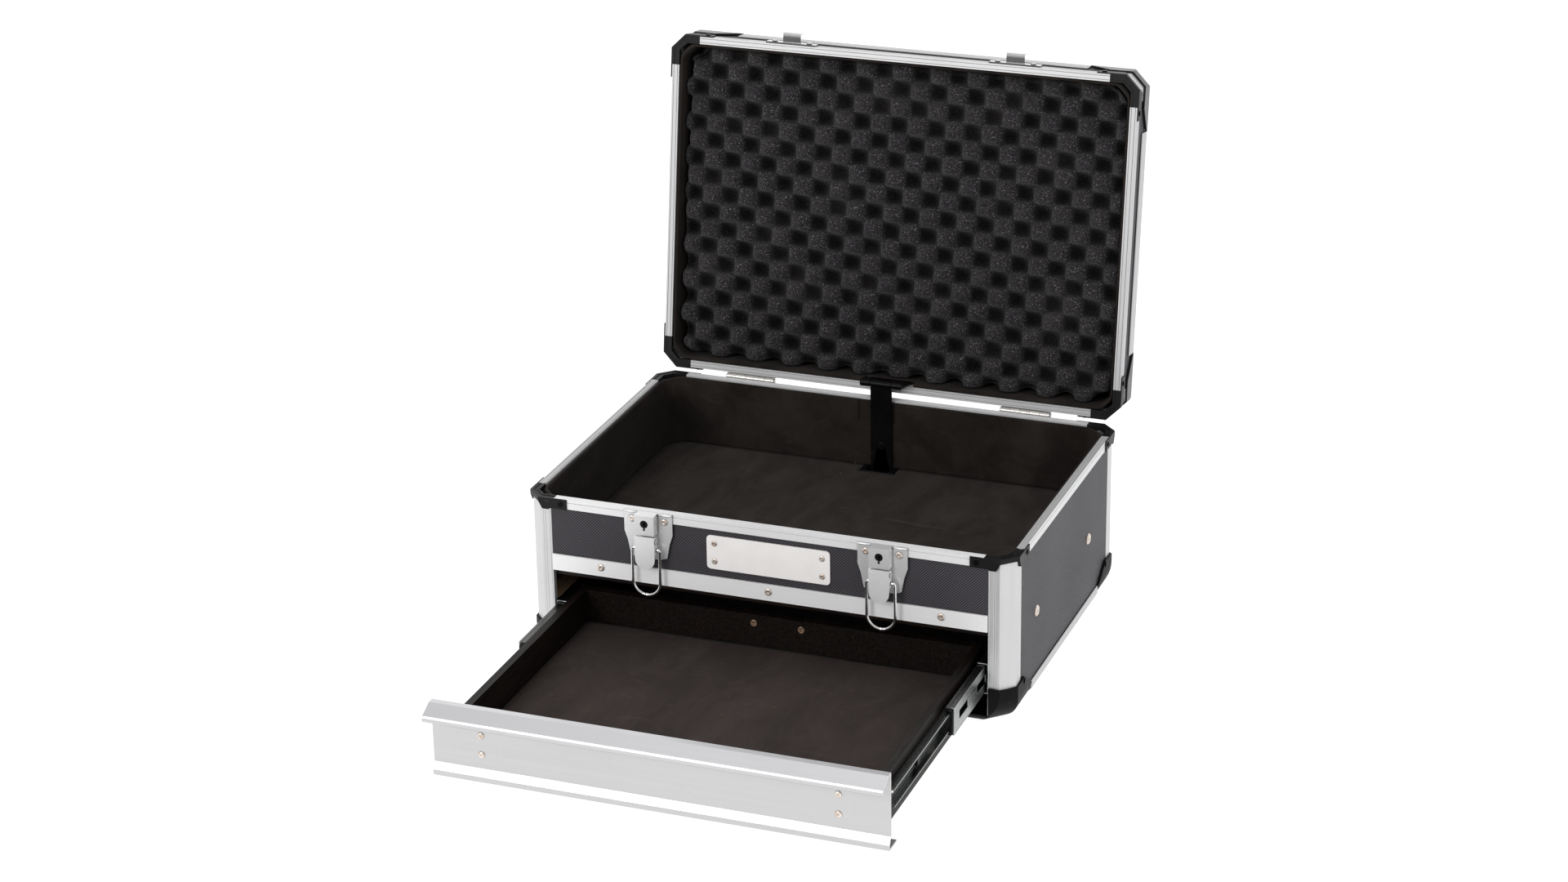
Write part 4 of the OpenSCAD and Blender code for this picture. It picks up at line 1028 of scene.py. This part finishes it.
# y, z round the rolled lip's section
LIP_SECTION = [
    (-151.45, -0.25), (-152.3, -0.28), (-152.9, -0.55), (-153.15, -1.05), (-153.05, -1.6),
    (-152.65, -1.85), (-152.35, -1.55), (-152.3, -1.2), (-152.05, -1.02), (-151.45, -1.0),
]
LIP_CENTRE = (-151.6, -0.95)
LIP_END_X = 21.2
# x stations of the two lengths of lip, from the latch's middle
LIP_STATIONS = ((-LIP_END_X, -20.9, -15, -8.9), (8.9, 15, 20.9, LIP_END_X))


def wire(line, radii, sides):
    """A round wire, with closed ends, along a line of (x, z) at y = 0."""
    points = []
    last = len(line) - 1
    line = [Vector((x, 0, z)) for x, z in line]
    for i, (centre, radius) in enumerate(zip(line, radii)):
        along = (line[min(i + 1, last)] - line[max(i - 1, 0)]).normalized()
        across = Vector((0, 1, 0)).cross(along)
        across.normalize()
        other = along.cross(across)
        for k in range(sides):
            angle = 2 * math.pi * k / sides
            points.append(tuple(centre + across * (radius * math.cos(angle))
                                + other * (radius * math.sin(angle))))
    return points, capped_faces(len(line), sides)


def add_bail(side, x_centre):
    leg = [(-6.8, BAIL_TOP_Z), (-9.4, BAIL_TOP_Z)]
    for i in range(7):
        angle = math.radians(90 * i / 6)
        leg.append((-BOW_RADIUS + ELBOW - ELBOW * math.sin(angle),
                    BAIL_TOP_Z - ELBOW + ELBOW * math.cos(angle)))
    leg += [(-BOW_RADIUS, BAIL_TOP_Z - ELBOW + (BOW_Z - BAIL_TOP_Z + ELBOW) * i / 8)
            for i in range(1, 8)]
    angles = [math.pi + math.pi * i / 24 for i in range(25)]
    bow = [(BOW_RADIUS * math.cos(angle), BOW_Z + BOW_RADIUS * math.sin(angle))
           for angle in angles]
    line = leg + bow + [(-x, z) for x, z in reversed(leg)]
    # the weld bead sits at the bottom of the bow
    shares = np.linspace(0, 1, 9)
    bead_x = [-WELD_HALF + 2 * WELD_HALF * t for t in shares]
    bead = [(x, BOW_Z - math.sqrt(BOW_RADIUS ** 2 - x ** 2)) for x in bead_x]
    swell = [1.25 + 0.35 * math.sin(math.pi * t) for t in shares]
    parts = [wire(line, [WIRE_RADIUS] * len(line), sides=14), wire(bead, swell, sides=12)]
    parts = [([(x + x_centre, y + BAIL_Y, z) for x, y, z in points], faces)
             for points, faces in parts]
    add_parts("bail_wire_" + side, parts, "bright_wire", "latch_bail_" + side,
              "chrome_steel", "latch_bail_" + side)


def add_latch_lips():
    """The latch plates' top edges, folded forward into small rolled lips."""
    centre_y, centre_z = LIP_CENTRE
    parts = []
    for x_centre in (-LATCH_X, LATCH_X):
        for stations in LIP_STATIONS:
            points = []
            for x in stations:
                size = 0.9 if abs(x) == LIP_END_X else 1.0
                points += [(x_centre + x, centre_y + (y - centre_y) * size,
                            centre_z + (z - centre_z) * size) for y, z in LIP_SECTION]
            parts.append((points, capped_faces(len(stations), len(LIP_SECTION))))
    add_parts("latch_plate_lips", parts, "bright_plate", "base", "chrome_steel")


# ---------------------------------------------------------------- carry handle
GRIP_HALF, GRIP_REACH = 56.0, 26.0    # eye centre from the middle, eye to grip
GRIP_BEND = 8
GRIP_SIDES = 20
LEG_START, LEG_RADIUS = 3.0, 4.0
GRIP_CENTRE_Y, GRIP_CENTRE_Z = -14, 57.6
SQUARENESS = 2.6                      # exponent of the slightly squared section
SWELL, SWELL_PITCH = 0.21, 22.0       # finger swells
EYE_STEPS = 40
# radius, x round the section of an eye
EYE_SECTION = [(2.6, -3.6), (3.1, -4.0), (4.6, -4.0), (5.0, -3.5),
               (5.0, 3.5), (4.6, 4.0), (3.1, 4.0), (2.6, 3.6)]


def grip_line():
    """x, y and radius from eye to eye."""
    bend_x, bend_y = GRIP_HALF - GRIP_BEND, GRIP_REACH - GRIP_BEND
    leg = [(-GRIP_HALF, LEG_START + t * (bend_y - LEG_START), LEG_RADIUS)
           for t in np.linspace(0, 1, 9)]
    for i in range(1, 9):
        angle = math.radians(90 * i / 8)
        leg.append((-bend_x - GRIP_BEND * math.cos(angle),
                    bend_y + GRIP_BEND * math.sin(angle), LEG_RADIUS + 1.6 * i / 8))
    bar = []
    for t in np.linspace(0, 1, 49)[1:-1]:
        x = -bend_x + t * 2 * bend_x
        swell = (SWELL * math.cos(2 * math.pi * x / SWELL_PITCH)
                 * min(1, (bend_x - abs(x)) / 12))
        bar.append((x, GRIP_REACH, 5.5 + 0.28 * math.sin(math.pi * t) + swell))
    return leg + bar + [(-x, y, radius) for x, y, radius in reversed(leg)]


def grip_sweep():
    line = grip_line()
    last = len(line) - 1
    points = []
    for i, (x, y, radius) in enumerate(line):
        x0, y0, _ = line[max(i - 1, 0)]
        x1, y1, _ = line[min(i + 1, last)]
        length = math.hypot(x1 - x0, y1 - y0)
        along_x, along_y = (x1 - x0) / length, (y1 - y0) / length
        for k in range(GRIP_SIDES):
            angle = 2 * math.pi * k / GRIP_SIDES
            cos, sin = math.cos(angle), math.sin(angle)
            square = (abs(cos) ** SQUARENESS + abs(sin) ** SQUARENESS) ** (-1 / SQUARENESS)
            out = radius * square * cos
            points.append((x - along_y * out, y + along_x * out, radius * square * sin * 0.97))
    return points, capped_faces(len(line), GRIP_SIDES)


def grip_eye(x_centre):
    points = []
    for k in range(EYE_STEPS):
        angle = 2 * math.pi * k / EYE_STEPS
        points += [(x_centre + x, radius * math.cos(angle), radius * math.sin(angle))
                   for radius, x in EYE_SECTION]
    return points, grid_faces(EYE_STEPS, len(EYE_SECTION), wrap_rows=True)


def add_handle():
    """Moulded grip, swept from eye to eye round the pins of the brackets."""
    points, faces = join_parts([grip_sweep(), grip_eye(-GRIP_HALF), grip_eye(GRIP_HALF)])
    points = [(x, y + GRIP_CENTRE_Y, z + GRIP_CENTRE_Z) for x, y, z in points]
    grip = make("handle_grip", points, faces, at_lid)
    finish_piece(grip, "moulded_black_lid", "carry_handle", "black_plastic", "carry_handle")


# ---------------------------------------------------------------- slides and side rivets
SLIDE_Z = -108.5                      # middle height of the slides
MIDDLE_FRONT_Y = -228.0               # front end of the middle members
BALL_COUNT, BALL_PITCH = 16, 5.2

# turned sections: radius, distance along x from the seat or centre
BALL_SECTION = [(0.05, -1.2), (0.75, -0.95), (1.15, -0.4), (1.2, 0.0),
                (1.15, 0.4), (0.75, 0.95), (0.05, 1.2)]
SCREW_SECTION = [(0.05, 1.5), (0.8, 1.45), (1.9, 1.1), (2.5, 0.5), (2.6, 0.0), (0.05, -0.1)]
RIVET_SECTION = [(0.05, 1.75), (1.3, 1.72), (1.45, 1.35), (2.3, 1.62), (3.6, 1.42),
                 (4.5, 0.85), (4.85, 0.2), (4.9, 0.03), (0.05, 0.02)]


def turned(section, centre, steps, sign=1):
    """A section turned about an axis along x; sign says which way it points."""
    x, y, z = centre
    size = len(section)
    points = []
    for k in range(steps):
        angle = 2 * math.pi * k / steps
        points += [(x + sign * depth, y + radius * math.cos(angle),
                    z + radius * math.sin(angle)) for radius, depth in section]
    faces = grid_faces(steps, size, wrap_rows=True, wrap_columns=False)
    faces.append(tuple(k * size for k in range(steps)))
    faces.append(tuple(k * size + size - 1 for k in range(steps - 1, -1, -1)))
    return points, faces


def slide_block(sign, x_span, y_span, z_span, chamfer):
    """A chamfered block; x is from the case's middle, z from the slides'."""
    x0, x1 = sorted(sign * x for x in x_span)
    y0, y1 = y_span
    z0, z1 = (SLIDE_Z + z for z in z_span)
    section = [(x0 + chamfer, z0), (x1 - chamfer, z0), (x1, z0 + chamfer), (x1, z1 - chamfer),
               (x1 - chamfer, z1), (x0 + chamfer, z1), (x0, z1 - chamfer), (x0, z0 + chamfer)]
    middle_x, middle_z = (x0 + x1) / 2, (z0 + z1) / 2
    points = []
    for y, taper in ((y0, chamfer), (y0 + chamfer, 0), (y1 - chamfer, 0), (y1, chamfer)):
        points += [(middle_x + (x - middle_x) * (1 - taper / (x1 - x0)), y,
                    middle_z + (z - middle_z) * (1 - taper / (z1 - z0))) for x, z in section]
    return points, capped_faces(4, len(section))


def add_slide_details(side, sign):
    """Ball cages and a front stop on the middle member; screws and a release on the inner."""
    front = MIDDLE_FRONT_Y
    middle = "slide_middle_" + side
    balls = [turned(BALL_SECTION, (sign * 183.2, front + 12 + k * BALL_PITCH, SLIDE_Z + z), 10)
             for z in (9.45, -9.45) for k in range(BALL_COUNT)]
    add_parts("slide_balls_" + side, balls, "bright_plate", middle, "zinc_steel")
    cages = [slide_block(sign, (182.0, 184.4), (front + 8, front + 96), z_span, chamfer=0.3)
             for z_span in ((10.35, 10.8), (-10.8, -10.35))]
    add_parts("slide_ball_cage_" + side, cages, "slide_steel", middle, "zinc_steel",
              smooth=False)
    stop = [slide_block(sign, (181.2, 186.5), (front - 1.6, front + 7), z_span, chamfer=0.6)
            for z_span in ((8.4, 11.9), (-11.9, -8.4))]
    stop.append(slide_block(sign, (185.3, 187.4), (front - 1.6, front + 3.5), (-9, 9),
                            chamfer=0.5))
    add_parts("slide_stop_" + side, stop, "moulded_black", middle, "black_plastic",
              smooth=False)
    screws = [turned(SCREW_SECTION, (sign * 178.7, y, SLIDE_Z), 22, sign)
              for y in (-352.0, -255.0, -160.0)]
    add_parts("slide_screws_" + side, screws, "nickel_rivet", "drawer", "nickel_rivet")
    release = [slide_block(sign, (179.0, 181.2), (-300, -262), (-1.8, 2.6), chamfer=0.7),
               slide_block(sign, (179.0, 182.0), (-300, -294), (-4.5, 3.0), chamfer=0.7)]
    add_parts("slide_release_" + side, release, "moulded_black", "drawer", "black_plastic",
              smooth=False)


def add_side_rivets():
    heads = [turned(RIVET_SECTION, (sign * 211.0, y, -73.0), 28, sign)
             for _, sign in SIDES for y in (-82.0, 69.0)]
    add_parts("side_rivet_heads", heads, "nickel_rivet", "base", "nickel_rivet")


# ---------------------------------------------------------------- floor, light, camera
FLOOR_HALF = 9.0                      # metres, as all below
FLOOR_BACK, FLOOR_RISE = 5.0, 4.5     # back wall, and radius of the curve up to it
FLOOR_STEPS = 24
FLOOR_DROP = 0.00005                  # keeps the floor clear of the feet

# name, place, target, size, power in watts
LIGHTS = [
    ("soft_top", (0.1, -0.3, 2.6), (0, -0.05, 0.1), 2.4, 9),
    ("soft_key", (-1.05, -2.9, 1.5), (0, -0.2, 0.10), 1.3, 40),
    ("soft_right", (2.7, -0.9, 1.5), (0, 0.0, 0.15), 1.5, 6),
]
CAMERA_PLACE = (0.97541682, -2.65070407, 1.3420505)
CAMERA_RIGHT = Vector((0.93605969, 0.35151762, -0.01508702))
CAMERA_FORWARD = Vector((-0.3300214, 0.86233563, -0.3840093))
SENSOR_WIDTH, LENS = 36.0, 82.922540625    # mm


def add_floor():
    """A floor that curves up into a wall behind the case."""
    curve = [(FLOOR_BACK - FLOOR_RISE + FLOOR_RISE * math.sin(angle),
              FLOOR_RISE - FLOOR_RISE * math.cos(angle))
             for angle in np.linspace(0, math.pi / 2, FLOOR_STEPS)]
    rows = [(-FLOOR_HALF, 0.0)] + curve + [(FLOOR_BACK, 9.0)]
    mesh = bpy.data.meshes.new("studio_floor")
    points = [(sign * FLOOR_HALF, y, z - FLOOR_DROP) for y, z in rows for sign in (-1, 1)]
    mesh.from_pydata(points, [], grid_faces(len(rows), 2, wrap_columns=False))
    mesh.polygons.foreach_set("use_smooth", [True] * len(mesh.polygons))
    floor = bpy.data.objects.new("studio_floor", mesh)
    bpy.context.scene.collection.objects.link(floor)
    mat = Shader("studio_floor_paint")
    color = mat.tint((0.24, 0.24, 0.24), (0.25, 0.25, 0.25), by=mat.noise(scale=3, detail=2),
                     span=(0.3, 0.7))
    mat.set(color=color, rough=0.85, spec=0.0)
    mat.surface.inputs["Emission Color"].default_value = (1, 1, 1, 1)
    mat.surface.inputs["Emission Strength"].default_value = 0.97
    mesh.materials.append(MATERIALS["studio_floor_paint"])


def add_world():
    world = bpy.data.worlds.new("studio")
    bpy.context.scene.world = world
    world.use_nodes = True
    tree = world.node_tree
    tree.nodes.clear()
    output = tree.nodes.new("ShaderNodeOutputWorld")
    background = tree.nodes.new("ShaderNodeBackground")
    background.inputs["Color"].default_value = (1.0, 1.0, 1.0, 1)
    background.inputs["Strength"].default_value = 0.62
    tree.links.new(background.outputs[0], output.inputs[0])


def add_light(name, place, target, size, power):
    light = bpy.data.lights.new(name, "AREA")
    light.energy = power
    light.shape = "RECTANGLE"
    light.size = light.size_y = size
    lamp = bpy.data.objects.new(name, light)
    lamp.location = place
    aim = Vector(target) - Vector(place)
    lamp.rotation_euler = aim.to_track_quat("-Z", "Y").to_euler()
    bpy.context.scene.collection.objects.link(lamp)


def add_camera():
    data = bpy.data.cameras.new("camera")
    data.sensor_width = SENSOR_WIDTH
    data.lens = LENS
    data.clip_start, data.clip_end = 0.05, 60
    camera = bpy.data.objects.new("camera", data)
    upward = CAMERA_RIGHT.cross(CAMERA_FORWARD)
    rows = list(zip(CAMERA_RIGHT, upward, -CAMERA_FORWARD, CAMERA_PLACE))
    camera.matrix_world = Matrix(rows + [(0, 0, 0, 1)])
    scene = bpy.context.scene
    scene.collection.objects.link(camera)
    scene.camera = camera
    scene.view_settings.view_transform = "Standard"
    scene.view_settings.look = "None"
    scene.view_settings.exposure = 0.0


# ---------------------------------------------------------------- build
make_materials()
dress_cad_pieces()
add_foam()
add_liners_and_mats()
add_bail("left", -LATCH_X - 0.6)      # each bail sits a little off centre on its pin
add_bail("right", LATCH_X + 0.4)
add_latch_lips()
add_handle()
for side_name, side_sign in SIDES:
    add_slide_details(side_name, side_sign)
add_side_rivets()
add_floor()
add_world()
for light_values in LIGHTS:
    add_light(*light_values)
add_camera()
